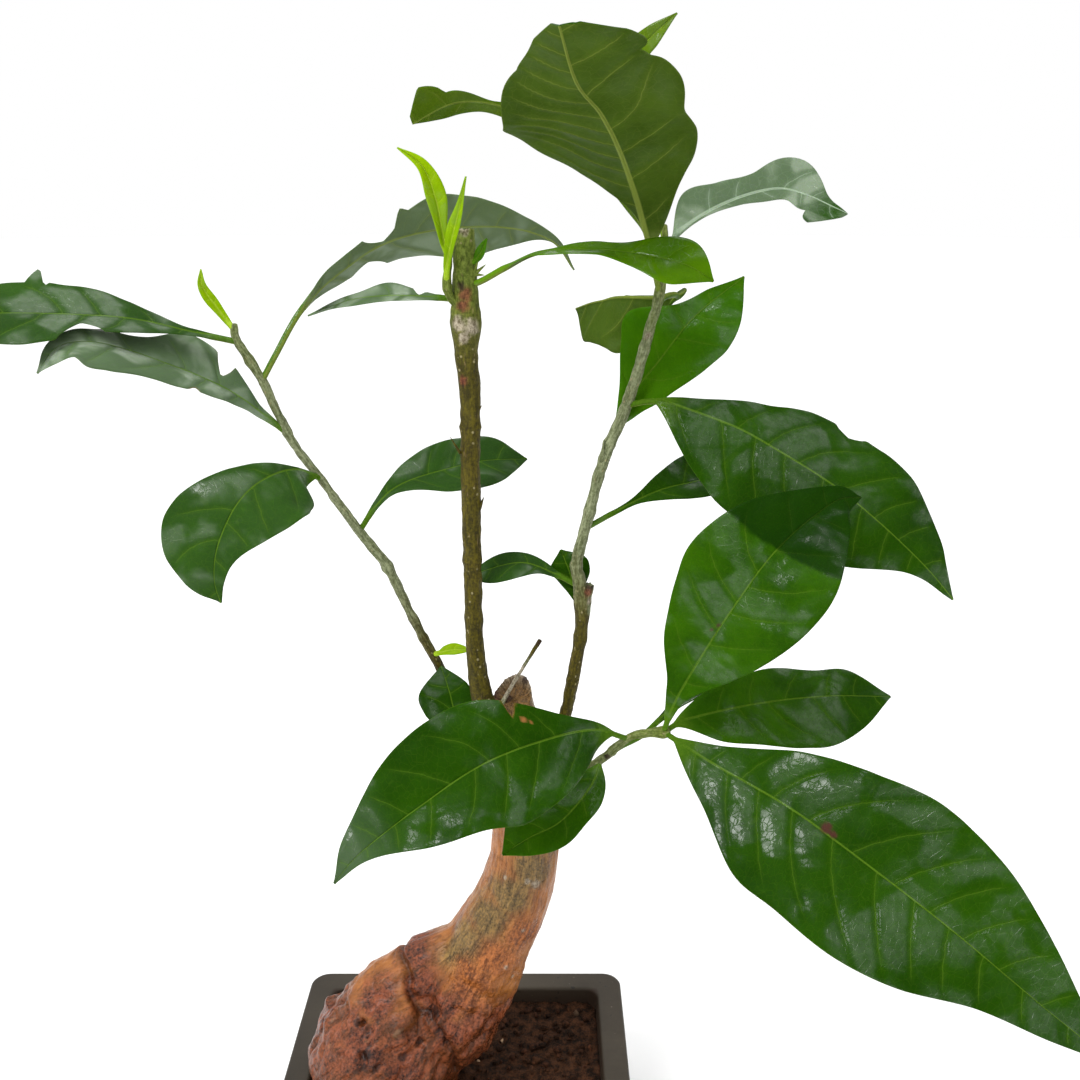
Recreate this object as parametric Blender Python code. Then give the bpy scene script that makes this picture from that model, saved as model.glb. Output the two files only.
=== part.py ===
"""A potted baobab bonsai: a stout leaning trunk in a rectangular pot, four stems and their leaves.

The origin is the centre of the pot's underside. +X is to the plant's right as it is shown, +Y is its back,
+Z is up. Blender's unit is the metre; the places of stems and leaves are listed in millimetres.
"""

import math
from typing import NamedTuple

import bmesh
import bpy
import numpy as np
from mathutils import Matrix, Vector

MM = 0.001

# Pot
POT_WIDTH = 0.150
POT_DEPTH = 0.115
POT_HEIGHT = 0.055
POT_BASE_INSET = 0.011
POT_CORNER = 0.008
INNER_CORNER = 0.006
RIM_WIDTH = 0.0115
RIM_HEIGHT = 0.008
RIM_OVERHANG = 0.0035
POT_WALL = 0.006
POT_FLOOR = 0.007
EDGE_ROUND = 0.001
DRAIN_RADIUS = 0.006
DRAIN_OFFSET = 0.034
DRAIN_SIDES = 20
CORNER_STEPS = 5

# Soil and the gap that touching pieces keep
SOIL_TOP = 0.048
SEAT_GAP = 0.0003

# The slanting plane of the old pruning cut on the trunk: a point on it, and the way it faces
CUT_PLACE = (0.026, 0.0, 0.2315)
CUT_FACING = (-0.5, -0.7, 1.0)
CUT_BLOCK = 0.06

# Leaves, in millimetres; the rib's reach is a share of the half width, the left edge's wave shift is in turns
LEAF_THICKNESS = 0.7
STALK_RADIUS = 1.0
RIB_RADIUS = 0.7
TIP_HALF_WIDTH = 0.5
RIB_REACH = 0.4
LEFT_WAVE_SHIFT = 0.25
SEAT_DEPTH = 0.3
EDGE_HALF_THICKNESS = 0.15

# Leaves: the root's thinnest share of the stalk and the share of the stalk that it widens over, the shares
# of the blade over which it flattens and folds, how pointed a bite is, and the least step between stations
ROOT_SHARE = 0.6
ROOT_SPAN = 0.6
FLATTEN_SPAN = 0.1
FOLD_SPAN = 0.2
BITE_POWER = 0.6
LEAST_STEP = 0.006

# Curves
CURVE_STEPS = 16
SHARP_ANGLE = math.radians(50)


class Leaf(NamedTuple):
    """One leaf. Lengths are in millimetres.

    path runs along the midrib, from inside the stem to the tip. The first stalk millimetres are the stalk.
    left and right are the blade's half widths at even steps from its foot to its tip, seen from its upper
    side with the tip ahead. faces are the directions of the upper side, evenly spaced along the leaf.
    fold lifts both halves from the midrib, in degrees, and cup lifts their edges further.
    wave is the height, the count and the start, in turns, of the ripples along the edge.
    bites are (side, place along the blade, half length along it, depth), with side -1 for left. A bite of
    negative depth is a lobe.
    """

    name: str
    stem: str
    path: tuple
    stalk: float
    left: tuple
    right: tuple
    faces: tuple
    fold: float = 12
    cup: float = 0
    wave: tuple = (0, 2, 0)
    bites: tuple = ()
    colour: str = "leaf_green"
    rings: int = 14
    across: int = 7


class Stem(NamedTuple):
    """One stem: points along its middle and the radius at each, in millimetres."""

    name: str
    path: tuple
    radii: tuple
    sides: int
    ring_step: float


TRUNK_LIMBS = (
    Stem(
        "trunk_main",
        ((-24, 2, 24), (-20, 2, 50), (-9, 1, 70), (-1, 0, 84), (7.5, 0, 103), (15.5, 0, 121), (24, 0, 139),
         (28.5, 0, 155), (30, 0, 172), (30, 0, 192), (27, 0, 212), (24.5, 1, 228), (24.5, 2, 246)),
        (15, 17, 19, 21, 19.5, 17.3, 15.6, 14.6, 13.5, 13.5, 11.8, 9, 7),
        24,
        8,
    ),
    Stem(
        "caudex_left",
        ((-35, -7, 24), (-36, -8, 48), (-36, -6, 68), (-28, -4, 88), (-18, 0, 101), (-2, 0, 111),
         (7, 0, 117)),
        (18, 25.5, 27, 20.5, 16.5, 14.5, 11),
        22,
        8,
    ),
    Stem("caudex_knob", ((-50, 4, 60), (-52, 4, 72), (-50, 4, 84)), (7, 11, 8), 14, 6),
    Stem(
        "caudex_front", ((-22, -16, 26), (-22, -17, 46), (-18, -14, 66), (-10, -7, 84)), (13, 16, 15, 9),
        16, 8,
    ),
)

STEMS = (
    Stem(
        "stem_left",
        ((16, 8, 206), (6.5, 11, 222), (-3.5, 12, 238), (-16.5, 9, 268), (-22.5, 8, 283), (-33, 6, 299),
         (-44.5, 4, 318), (-54.5, 2, 334), (-62.5, 0, 355), (-70, -2, 370), (-71, -2, 376)),
        (2.6, 2.3, 1.9, 1.8, 2.0, 1.7, 1.5, 1.5, 1.6, 1.5, 1.3),
        8,
        5,
    ),
    Stem(
        "stem_centre",
        ((22, -2, 204), (17, -1, 218), (13.2, 0, 233), (11, 0, 252), (10.6, 0, 289), (10.6, 0, 327),
         (11, 0, 349), (10, 0, 367), (10, 0, 377), (10, 0, 384), (10, 0, 408)),
        (6.5, 5.2, 4.2, 3.5, 3.4, 3.6, 3.7, 4.2, 5.3, 4.7, 3.6),
        10,
        5,
    ),
    Stem(
        "stem_right",
        ((34, 4, 196), (41, 6, 209), (46, 6, 221), (49, 5, 238), (52, 5, 258), (52, 5, 270), (51, 5, 279),
         (50, 5, 286), (55, 5, 308), (60, 4, 328), (68, 4, 348), (75, 3, 374), (78, 2, 388), (79, 2, 401),
         (79, 2, 409)),
        (3.4, 2.8, 2.5, 2.4, 2.6, 3.2, 2.5, 2.1, 2.1, 2.1, 2.1, 1.8, 1.8, 1.6, 0.8),
        8,
        5,
    ),
    Stem(
        "stem_front",
        ((36, -10, 188), (44, -17, 195), (50, -21, 203), (56, -24, 215), (61, -26, 221), (69, -29, 230),
         (75, -30, 232), (81, -31, 233), (83, -31.3, 233.4)),
        (2.2, 1.9, 1.7, 1.5, 1.6, 1.5, 1.5, 2.4, 1.8),
        8,
        4,
    ),
    Stem(
        "dry_stalk", ((19, -2, 224), (22, -7, 234), (29, -10, 248), (36, -12, 261)), (1.0, 0.8, 0.6, 0.8),
        6, 5,
    ),
    Stem("bud_shoot", ((9, 0, 380), (5, -3, 386), (4, -4, 391), (5, -4, 399)), (1.6, 1.4, 1.5, 1.3), 8, 3),
)

PRUNED_STUB = Stem("pruned_stub", ((53, 5, 264), (54, 5, 272), (55, 5, 277)), (2.2, 2.1, 1.7), 8, 3)

LEAVES = (
    Leaf(
        "leaf_left_far", "stem_left",
        ((-70, -2, 370), (-85, -6, 374), (-102, -12, 379), (-118, -18, 381), (-141, -25, 382),
         (-158, -30, 380)),
        6, (3, 7, 12, 16, 17.5, 14), (2, 6, 13, 14.5, 16, 14.5),
        ((0, -0.5, 0.87), (0, -0.5, 0.87)), fold=5, wave=(1.5, 1.5, 0.3),
        bites=((-1, 0.51, 0.08, 8), (1, 0.675, 0.04, -6), (1, 0.65, 0.014, 5)), rings=12,
    ),
    Leaf(
        "leaf_left_chewed", "stem_left",
        ((-55, 2, 337), (-73, -5, 353), (-94, -14, 365), (-110, -22, 372), (-121, -28, 372),
         (-127, -34, 364)),
        5, (4, 9, 12, 15, 20, 20), (4.5, 13, 17, 9, 7.5, 5.5),
        ((0, -0.5, 0.87), (-0.3, -0.5, 0.8)), fold=10,
        bites=((1, 0.278, 0.036, 8.5), (-1, 0.37, 0.02, 2)), rings=12,
    ),
    Leaf(
        "leaf_left_tip", "stem_left",
        ((-71, -2, 374), (-76, -3, 382), (-80, -4, 389), (-80, -4, 395)),
        2, (1.6, 2.2, 1.5), (1.6, 2.0, 1.5),
        ((0.3, -0.9, 0.3), (0.3, -0.9, 0.3)), colour="leaf_lime", rings=6, across=5,
    ),
    Leaf(
        "leaf_left_twisted", "stem_left",
        ((-62, 0, 356), (-58, 2, 365), (-50, 8, 379), (-40, 14, 390), (-22, 22, 402), (-3, 27, 407),
         (21, 32, 408), (40, 36, 403), (49, 38, 392)),
        28, (10, 14, 17, 21, 20, 10, 1), (6, 6, 9, 15, 12, 6.5, 2.5),
        ((-0.3, 0.3, 0.8), (0, 0.8, 0.5)), fold=8, wave=(1.5, 2, 0),
        bites=((1, 0.34, 0.06, 7), (1, 0.405, 0.02, -4), (-1, 0.28, 0.06, 6)), rings=12,
    ),
    Leaf(
        "leaf_left_drooping", "stem_left",
        ((-45, 4, 319), (-52, -6, 325), (-61, -17, 324), (-68, -27, 318), (-74, -33, 305), (-76, -34, 293),
         (-75, -33, 284)),
        3, (9, 18, 22, 24.5, 23, 18, 11.5, 6.5, 3.5), (0.8, 2.5, 7, 11, 15.5, 19.5, 20.5, 17.5, 10),
        ((-0.1, -0.8, 0.55), (-0.2, -0.95, 0.2)), fold=10,
    ),
    Leaf(
        "leaf_left_mid", "stem_left",
        ((-33, 5, 298), (-26, 9, 307), (-19, 13, 313), (-7, 18, 317), (13, 25, 320.5), (31, 29, 320.5)),
        6, (3, 8.5, 12.5, 12.5, 11.5), (2.5, 9, 16.5, 19, 15),
        ((0, -0.45, 0.9), (0.2, -0.45, 0.9)), fold=12, rings=12, across=5,
    ),
    Leaf(
        "leaf_left_low", "stem_left",
        ((-7, 11, 244), (-3, 9, 247), (2, 9, 248), (9, 9, 248)),
        3, (2.4, 3, 2), (2, 2.8, 2),
        ((0, -0.5, 0.85), (0, -0.5, 0.85)), colour="leaf_lime", rings=6, across=5,
    ),
    Leaf(
        "leaf_trunk_round", "trunk",
        ((18, 3.6, 205), (14, 3.7, 208), (5, 4.5, 213.5), (2, 6, 222), (0, 6.8, 231), (-3, 7, 242)),
        8, (5.5, 12, 12), (6, 9, 8.5),
        ((-0.2, -0.95, 0.2), (-0.2, -0.95, 0.2)), fold=6, rings=9, across=5,
    ),
    Leaf(
        "leaf_centre_left", "stem_centre",
        ((10, 0, 384), (-1, 2, 385), (-17, 7, 385), (-32, 12, 383), (-49, 18, 377)),
        8, (3, 4, 5, 2), (3, 6, 3, 2),
        ((0, -0.6, 0.8), (0, -0.6, 0.8)), fold=12, bites=((1, 0.17, 0.04, 2),), rings=10, across=5,
    ),
    Leaf(
        "leaf_bud_tall", "bud_shoot",
        ((5, -4, 398), (3, -4, 406), (1, -5, 418), (-3, -6, 428), (-11, -6, 434)),
        2, (2.5, 4, 2.2), (2.3, 4, 2.5),
        ((0.3, -0.9, 0.2), (0.3, -0.9, 0.2)), fold=25, colour="leaf_lime", rings=8, across=5,
    ),
    Leaf(
        "leaf_bud_short", "bud_shoot",
        ((4, -4, 391), (4.5, -7.5, 396), (6.5, -8.5, 405), (9, -8, 414), (11.5, -8, 425)),
        3, (1.8, 2.6, 1.2), (1.5, 2, 1.2),
        ((-0.3, -0.9, 0), (-0.3, -0.9, 0)), fold=20, colour="leaf_lime", rings=8, across=5,
    ),
    Leaf(
        "leaf_centre_right", "stem_centre",
        ((10, 0, 389), (16, -3, 391), (25, -7, 396), (36, -12, 401), (52, -18, 402), (67, -24, 401),
         (82, -30, 398), (91, -33, 393)),
        16, (0.9, 2.5, 5, 5, 8.5, 9), (3.5, 6.5, 6.5, 8, 10.5, 11.5),
        ((0.1, -0.35, 0.94), (0.1, -0.4, 0.9), (0.3, -0.85, 0.45)), fold=10, rings=12,
    ),
    Leaf(
        "leaf_centre_tiny", "stem_centre",
        ((10, 0, 395), (15, -3, 399), (18, -6, 405)),
        5, (2, 1.6), (2, 1.6),
        ((-0.3, -0.9, 0.2), (-0.3, -0.9, 0.2)), fold=25, rings=5, across=5,
    ),
    Leaf(
        "leaf_top_large", "stem_right",
        ((78, 3, 386), (74, -5, 399), (68, -16, 416), (61, -32, 431), (54, -48, 441), (46, -61, 449),
         (40.5, -74, 457)),
        18, (8, 14, 21, 24, 23, 26, 23, 20), (1.2, 6.5, 17, 29.5, 32.5, 31.5, 24.5, 9.5),
        ((0.1, 0.55, 0.8), (0.1, 0.6, 0.8)), fold=8, wave=(2, 2, 0.4),
        bites=((-1, 0.95, 0.09, -10),), rings=14,
    ),
    Leaf(
        "leaf_top_back", "stem_right",
        ((79, 2, 393), (71, 9, 411), (56, 14, 430), (39, 15, 442), (22, 13, 448.5), (7, 10, 449),
         (-7, 5, 442)),
        12, (5, 8, 10, 6, 1, 4.5), (4, 6, 7, 7, 5, 5.5),
        ((0, 0.5, 0.85), (0.2, 0.7, 0.6)), fold=6, bites=((-1, 0.94, 0.07, -7.5),), rings=12,
    ),
    Leaf(
        "leaf_top_young", "stem_right",
        ((79, 2, 403), (77, 9, 417), (72, 13, 437), (69, 12, 453), (69, 10, 464), (73, 8, 469), (81, 6, 476)),
        9, (4, 5, 5, 4, 4), (3, 4, 5, 5, 4.5),
        ((-0.3, -0.9, 0.3), (-0.3, -0.9, 0.3)), fold=15, colour="leaf_lime", rings=10, across=5,
    ),
    Leaf(
        "leaf_top_twisted", "stem_right",
        ((79, 2, 398), (84, 2, 407), (99, 5, 416), (116, 7, 421), (127, 4, 419), (139, -6, 413)),
        8, (11.5, 9, 7.5, 13.5, 4), (1.5, 3.5, 5.5, 6, 10),
        ((0, -0.5, 0.85), (0.3, -0.8, 0.5)), fold=10, bites=((1, 0.93, 0.08, -11),), rings=12,
    ),
    Leaf(
        "leaf_right_back", "stem_right",
        ((77, 3, 380), (80, 10, 384), (85, 18, 384.5), (86.5, 26, 382.5), (78, 32, 382), (66.5, 40, 381.5),
         (60.5, 47, 379.5), (56, 53, 378), (50.5, 60, 375.5)),
        24, (12, 14, 10, 6, 4, 3), (10, 18, 22, 20, 17, 14.5),
        ((0.4, 0.4, -0.83), (0.4, 0.4, -0.83)), fold=33, rings=10,
    ),
    Leaf(
        "leaf_right_upright", "stem_right",
        ((62, 4, 334), (66, 7, 342), (70, 9, 350), (79, 11, 361), (92, 14, 377), (110, 18, 391)),
        5, (5, 14.5, 19.5, 7.5, 4), (8.5, 12, 16, 17.5, 13),
        ((-0.25, -0.95, 0.2), (-0.25, -0.95, 0.2)), fold=8, rings=12,
    ),
    Leaf(
        "leaf_right_large", "stem_right",
        ((67, 4, 346), (79, -3, 349), (98, -10, 344), (114, -14, 337), (142, -20, 320), (168, -24, 298),
         (182, -27, 283)),
        12, (8.5, 16.5, 25.5, 28, 25, 16), (18, 27, 30, 27, 19, 6),
        ((0.1, -0.75, 0.65), (0.2, -0.85, 0.5)), fold=-12, wave=(2, 2.5, 0.2),
        bites=((-1, 0.52, 0.045, 3.5),), rings=16,
    ),
    Leaf(
        "leaf_right_hidden", "stem_right",
        ((53, 5, 299), (69, 10, 307), (83, 15, 312), (97, 20, 314), (118, 28, 317)),
        10, (1.8, 7, 12.5, 13), (2, 7, 10.5, 9),
        ((0, -0.5, 0.85), (0, -0.5, 0.85)), fold=10, rings=10, across=5,
    ),
    Leaf(
        "leaf_right_round", "stem_right",
        ((52, 5, 265), (49, 10, 275), (47, 12, 281), (44, 14, 288)),
        4, (3, 5.5, 7), (4, 8, 8),
        ((-0.2, -0.9, 0.3), (-0.2, -0.9, 0.3)), fold=8, rings=8, across=5,
    ),
    Leaf(
        "leaf_right_inner", "stem_right",
        ((51, 5, 276), (42, 8, 280), (28, 10, 284), (8, 12, 278)),
        8, (3, 8, 9.5, 7.5), (3, 4.5, 5.5, 4),
        ((0, -0.5, 0.85), (0, -0.5, 0.85)), fold=10, rings=9, across=5,
    ),
    Leaf(
        "leaf_front_left", "stem_front",
        ((68, -29, 229), (54, -37, 237), (34, -47, 237), (15, -56, 233), (-5, -66, 223), (-23, -75, 212),
         (-32, -78, 202)),
        8, (14, 22, 25, 20, 14, 5), (5.5, 14, 22, 22, 18.5, 10),
        ((0.1, -0.85, 0.55), (-0.4, -0.75, 0.5)), fold=10, wave=(1.5, 3, 0.3),
        bites=((1, 0.32, 0.03, 3.5),), rings=16,
    ),
    Leaf(
        "leaf_front_low", "stem_front",
        ((58, -25, 219), (55, -28, 209), (44, -31, 196), (32, -33, 190), (22, -35, 184)),
        2, (7, 7.5, 8.5, 6.5), (10.5, 14.5, 15.5, 12),
        ((-0.1, -0.8, 0.6), (-0.1, -0.8, 0.6)), fold=10, rings=10, across=5,
    ),
    Leaf(
        "leaf_front_up", "stem_front",
        ((81, -31, 233), (83, -36, 245), (88, -41, 260), (100, -46, 286), (114, -48, 309), (132, -43, 323),
         (142, -40, 324)),
        6, (5.5, 14.5, 20.5, 23.5, 19, 9.5), (4, 13.5, 21, 25, 24, 14.5),
        ((-0.35, -0.9, 0.25), (-0.3, -0.9, 0.3)), fold=10, wave=(1, 2.5, 0.5), rings=15,
    ),
    Leaf(
        "leaf_front_right", "stem_front",
        ((81, -31, 233), (91, -28, 237), (117, -22, 240), (143, -14, 239), (171, -6, 235)),
        5, (9, 12.5, 14, 11.5, 11), (11, 15.5, 19, 19, 12.5),
        ((-0.1, -0.65, 0.75), (-0.1, -0.65, 0.75)), fold=-5, rings=12,
    ),
    Leaf(
        "leaf_front_largest", "stem_front",
        ((81, -31, 233), (96, -48, 230), (120, -66, 223), (141, -82, 213), (165, -97, 199), (192, -111, 180),
         (213, -118, 165)),
        6, (8.5, 18.5, 25.5, 30, 27.5, 19.5, 9.5), (14, 29, 30.5, 30.5, 25, 14, 7),
        ((-0.2, -0.75, 0.6), (-0.2, -0.75, 0.6)), fold=8, wave=(1.5, 2.5, 0), rings=18,
    ),
    Leaf(
        "leaf_front_behind", "stem_front",
        ((58, -25, 218), (66, -22, 222), (76, -18, 226), (89, -10, 236), (104, -4, 248), (115, 0, 258)),
        26, (1.5, 3, 4, 3), (3, 6, 8, 5),
        ((-0.4, -0.6, 0.7), (-0.4, -0.6, 0.7)), fold=10, rings=9, across=5,
    ),
)


def clear_scene():
    for obj in list(bpy.data.objects):
        bpy.data.objects.remove(obj, do_unlink=True)


def make_material(name, colour, roughness, metallic=0.0):
    material = bpy.data.materials.new(name)
    material.use_nodes = True
    shader = material.node_tree.nodes["Principled BSDF"]
    shader.inputs["Base Color"].default_value = (*colour, 1.0)
    shader.inputs["Roughness"].default_value = roughness
    shader.inputs["Metallic"].default_value = metallic
    return material


def add_object(name, points, faces, material, helper=False):
    """Adds a closed mesh, its points in metres. A helper only cuts other pieces and isn't kept itself."""
    mesh = bpy.data.meshes.new(name)
    mesh.from_pydata([tuple(point) for point in points], [], [tuple(face) for face in faces])
    mesh.validate()
    face_outwards(mesh)
    mesh.shade_smooth()
    mesh.set_sharp_from_angle(angle=SHARP_ANGLE)
    mesh.materials.append(material)
    obj = bpy.data.objects.new(name, mesh)
    bpy.context.scene.collection.objects.link(obj)
    obj.hide_render = helper
    obj.display_type = "WIRE" if helper else "TEXTURED"
    return obj


def face_outwards(mesh):
    shape = bmesh.new()
    shape.from_mesh(mesh)
    bmesh.ops.recalc_face_normals(shape, faces=shape.faces)
    if shape.calc_volume(signed=True) < 0:
        bmesh.ops.reverse_faces(shape, faces=shape.faces)
    shape.to_mesh(mesh)
    shape.free()


def add_boolean(obj, other, operation):
    modifier = obj.modifiers.new(operation.lower() + "_" + other.name, "BOOLEAN")
    modifier.operation = operation
    modifier.object = other
    modifier.solver = "EXACT"
    return modifier


def apply_modifiers(obj):
    """Replaces the object's mesh by what its modifiers make of it."""
    bpy.context.view_layer.update()
    graph = bpy.context.evaluated_depsgraph_get()
    mesh = bpy.data.meshes.new_from_object(obj.evaluated_get(graph))
    obj.modifiers.clear()
    obj.data = mesh


def smooth_curve(points):
    """A dense smooth curve through the points, as an array."""
    points = np.asarray(points, float)
    padded = np.vstack([2 * points[0] - points[1], points, 2 * points[-1] - points[-2]])
    steps = np.linspace(0, 1, CURVE_STEPS, endpoint=False)[:, None]
    pieces = []
    for before, start, end, after in zip(padded, padded[1:], padded[2:], padded[3:]):
        leave = (end - before) / 2
        arrive = (after - start) / 2
        pieces.append(
            start
            + leave * steps
            + (3 * (end - start) - 2 * leave - arrive) * steps**2
            + (2 * (start - end) + leave + arrive) * steps**3
        )
    return np.vstack(pieces + [points[-1:]])


def sample_curve(points, values, fractions):
    """The curve's places, directions and values at the given fractions of its length, and that length."""
    curve = smooth_curve(points)
    lengths = np.concatenate([[0], np.cumsum(np.linalg.norm(np.diff(curve, axis=0), axis=1))])
    at = np.asarray(fractions) * lengths[-1]
    places = np.column_stack([np.interp(at, lengths, curve[:, axis]) for axis in range(3)])
    slopes = np.gradient(curve, lengths, axis=0)
    directions = np.column_stack([np.interp(at, lengths, slopes[:, axis]) for axis in range(3)])
    directions /= np.linalg.norm(directions, axis=1)[:, None]
    knots = lengths[::CURVE_STEPS]
    return places, directions, np.interp(at, knots, values), lengths[-1]


def rooted(leaf):
    """The leaf, its path moved to start on the middle line of the stem that it grows from."""
    for stem in STEMS:
        if stem.name == leaf.stem:
            middle = smooth_curve(stem.path)
            nearest = middle[np.argmin(np.linalg.norm(middle - leaf.path[0], axis=1))]
            return leaf._replace(path=(tuple(nearest), *leaf.path[1:]))
    return leaf


def tube(stem, grow=0.0):
    """Points and faces of a round tube along the stem, its radius larger by grow millimetres."""
    curve = smooth_curve(stem.path)
    length = np.linalg.norm(np.diff(curve, axis=0), axis=1).sum()
    rings = max(3, round(length / stem.ring_step) + 1)
    places, directions, radii, _ = sample_curve(stem.path, stem.radii, np.linspace(0, 1, rings))
    places[0] -= directions[0] * grow
    places[-1] += directions[-1] * grow
    side = np.cross(directions[0], (0, 1, 0))
    points = []
    for place, direction, radius in zip(places, directions, radii + grow):
        side = side - direction * side.dot(direction)
        side /= np.linalg.norm(side)
        other = np.cross(direction, side)
        for index in range(stem.sides):
            angle = 2 * math.pi * index / stem.sides
            points.append(place + radius * (side * math.cos(angle) + other * math.sin(angle)))
    return np.array(points) * MM, ring_faces(rings, stem.sides)


def ring_faces(rings, sides):
    """Faces that join rings of points into a closed tube with flat ends."""
    faces = [tuple(range(sides))[::-1], tuple(range((rings - 1) * sides, rings * sides))]
    for ring in range(rings - 1):
        for index in range(sides):
            following = (index + 1) % sides
            low, high = ring * sides, (ring + 1) * sides
            faces.append((low + index, low + following, high + following, high + index))
    return faces


def half_width(steps, along, foot):
    """The blade's half width at each place along it, through even steps from its foot to its tip."""
    knots = np.linspace(0, 1, len(steps) + 2)
    widths = np.array([foot, *steps, TIP_HALF_WIDTH])
    slopes = np.gradient(widths, knots)
    spot = np.clip(np.searchsorted(knots, along, "right") - 1, 0, len(knots) - 2)
    span = knots[1]
    part = (along - knots[spot]) / span
    start, end = widths[spot], widths[spot + 1]
    leave, arrive = slopes[spot] * span, slopes[spot + 1] * span
    blended = (
        start + leave * part + (3 * (end - start) - 2 * leave - arrive) * part**2
        + (2 * (start - end) + leave + arrive) * part**3
    )
    return np.maximum(blended, TIP_HALF_WIDTH)


def ease(value, span):
    part = np.clip(value / span, 0, 1)
    return part * part * (3 - 2 * part)


def leaf_stations(leaf, length):
    """Places along the leaf, as fractions of its length: even steps, and closer ones round each bite."""
    stalk = leaf.stalk / length
    spots = [0, stalk * ROOT_SPAN, stalk]
    spots += [stalk + (1 - stalk) * step / leaf.rings for step in range(1, leaf.rings + 1)]
    for _, place, half_length, _ in leaf.bites:
        for shift in (-1, -0.5, 0, 0.5, 1):
            spots.append(stalk + (1 - stalk) * (place + shift * half_length))
    spots = np.unique(np.round(np.clip(spots, 0, 1), 4))
    keep = np.concatenate([[True], np.diff(spots) > LEAST_STEP])
    return spots[keep]


def leaf_grid(leaf, spots, sides):
    """The blade's middle surface as a grid, by place along and place across, with half its thickness."""
    places, directions, _, length = sample_curve(leaf.path, np.zeros(len(leaf.path)), spots)
    stalk = leaf.stalk / length
    along = np.clip((spots - stalk) / (1 - stalk), 0, 1)
    faces = np.asarray(leaf.faces, float)
    knots = np.linspace(0, 1, len(faces))
    uppers = np.column_stack([np.interp(along, knots, faces[:, axis]) for axis in range(3)])
    uppers -= directions * (uppers * directions).sum(axis=1)[:, None]
    uppers /= np.linalg.norm(uppers, axis=1)[:, None]
    rights = np.cross(directions, uppers)
    height, count, start = leaf.wave
    root = ROOT_SHARE + (1 - ROOT_SHARE) * ease(spots, ROOT_SPAN * stalk)
    points = np.zeros((len(spots), len(sides), 3))
    halves = np.zeros((len(spots), len(sides)))
    blade = ease(along, FLATTEN_SPAN)
    bend = math.radians(leaf.fold) * ease(along, FOLD_SPAN)
    for column, side in enumerate(sides):
        steps = leaf.left if side < 0 else leaf.right
        half = root * half_width(steps, along, STALK_RADIUS)
        share = half / max(*leaf.left, *leaf.right)
        for bite_side, place, half_length, depth in leaf.bites:
            if bite_side * side > 0:
                half = half - depth * np.clip(1 - np.abs(along - place) / half_length, 0, 1) ** BITE_POWER
        half = np.maximum(half, TIP_HALF_WIDTH)
        turn = 2 * math.pi * (count * along + start + (LEFT_WAVE_SHIFT if side < 0 else 0))
        edge = side * side * blade * share * (leaf.cup + height * np.sin(turn))
        lift = abs(side) * half * np.sin(bend) + edge
        reach = side * half * np.cos(bend)
        points[:, column] = places + rights * reach[:, None] + uppers * lift[:, None]
        rib = RIB_RADIUS * (1 - along) * max(0, 1 - abs(side) / RIB_REACH)
        round_half = STALK_RADIUS * math.sqrt(max(0, 1 - side * side)) + EDGE_HALF_THICKNESS
        halves[:, column] = round_half * root * (1 - blade) + (LEAF_THICKNESS / 2 + rib) * blade
    return points, halves, uppers


def leaf_solid(leaf):
    """Points and faces of one closed leaf, split into triangles alike on both faces."""
    curve = smooth_curve(leaf.path)
    length = np.linalg.norm(np.diff(curve, axis=0), axis=1).sum()
    spots = leaf_stations(leaf, length)
    sides = np.linspace(-1, 1, leaf.across)
    grid, halves, _ = leaf_grid(leaf, spots, sides)
    outward = np.cross(np.gradient(grid, axis=1), np.gradient(grid, axis=0))
    outward /= np.linalg.norm(outward, axis=2)[:, :, None]
    top = grid + outward * halves[:, :, None]
    bottom = grid - outward * halves[:, :, None]
    rows, columns = halves.shape
    points = np.vstack([top.reshape(-1, 3), bottom.reshape(-1, 3)]) * MM

    def upper(row, column):
        return row * columns + column

    def lower(row, column):
        return rows * columns + row * columns + column

    faces = []
    for row in range(rows - 1):
        for column in range(columns - 1):
            corners = ((row, column), (row, column + 1), (row + 1, column + 1), (row + 1, column))
            a, b, c, d = (upper(*corner) for corner in corners)
            faces += [(a, b, c), (a, c, d)]
            a, b, c, d = (lower(*corner) for corner in corners)
            faces += [(a, c, b), (a, d, c)]
        for column in (0, columns - 1):
            ahead = row + 1
            faces.append((upper(row, column), upper(ahead, column), lower(ahead, column), lower(row, column)))
    for row in (0, rows - 1):
        for column in range(columns - 1):
            beside = column + 1
            faces.append((upper(row, column), upper(row, beside), lower(row, beside), lower(row, column)))
    return points, faces


def rounded_outline(width, depth, corner):
    """Points round a rectangle with rounded corners, in the plane."""
    points = []
    centres = ((1, 1, 0), (-1, 1, 90), (-1, -1, 180), (1, -1, 270))
    for sign_x, sign_y, first in centres:
        for step in range(CORNER_STEPS + 1):
            angle = math.radians(first + 90 * step / CORNER_STEPS)
            x = sign_x * (width / 2 - corner) + corner * math.cos(angle)
            y = sign_y * (depth / 2 - corner) + corner * math.sin(angle)
            points.append((x, y))
    return points


def lofted_box(levels):
    """Points and faces of rounded rectangles joined in turn: (height, inset from the rim, corner)."""
    points = []
    for height, inset, corner in levels:
        outline = rounded_outline(POT_WIDTH - 2 * inset, POT_DEPTH - 2 * inset, corner)
        points += [(x, y, height) for x, y in outline]
    return points, ring_faces(len(levels), 4 * (CORNER_STEPS + 1))


def pot_inset_at(height):
    """How far the pot's outer wall stands in from the rim's outer edge at a height."""
    rim_bottom = POT_HEIGHT - RIM_HEIGHT
    slope = (POT_BASE_INSET - RIM_OVERHANG) / rim_bottom
    return POT_BASE_INSET - slope * height


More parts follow.
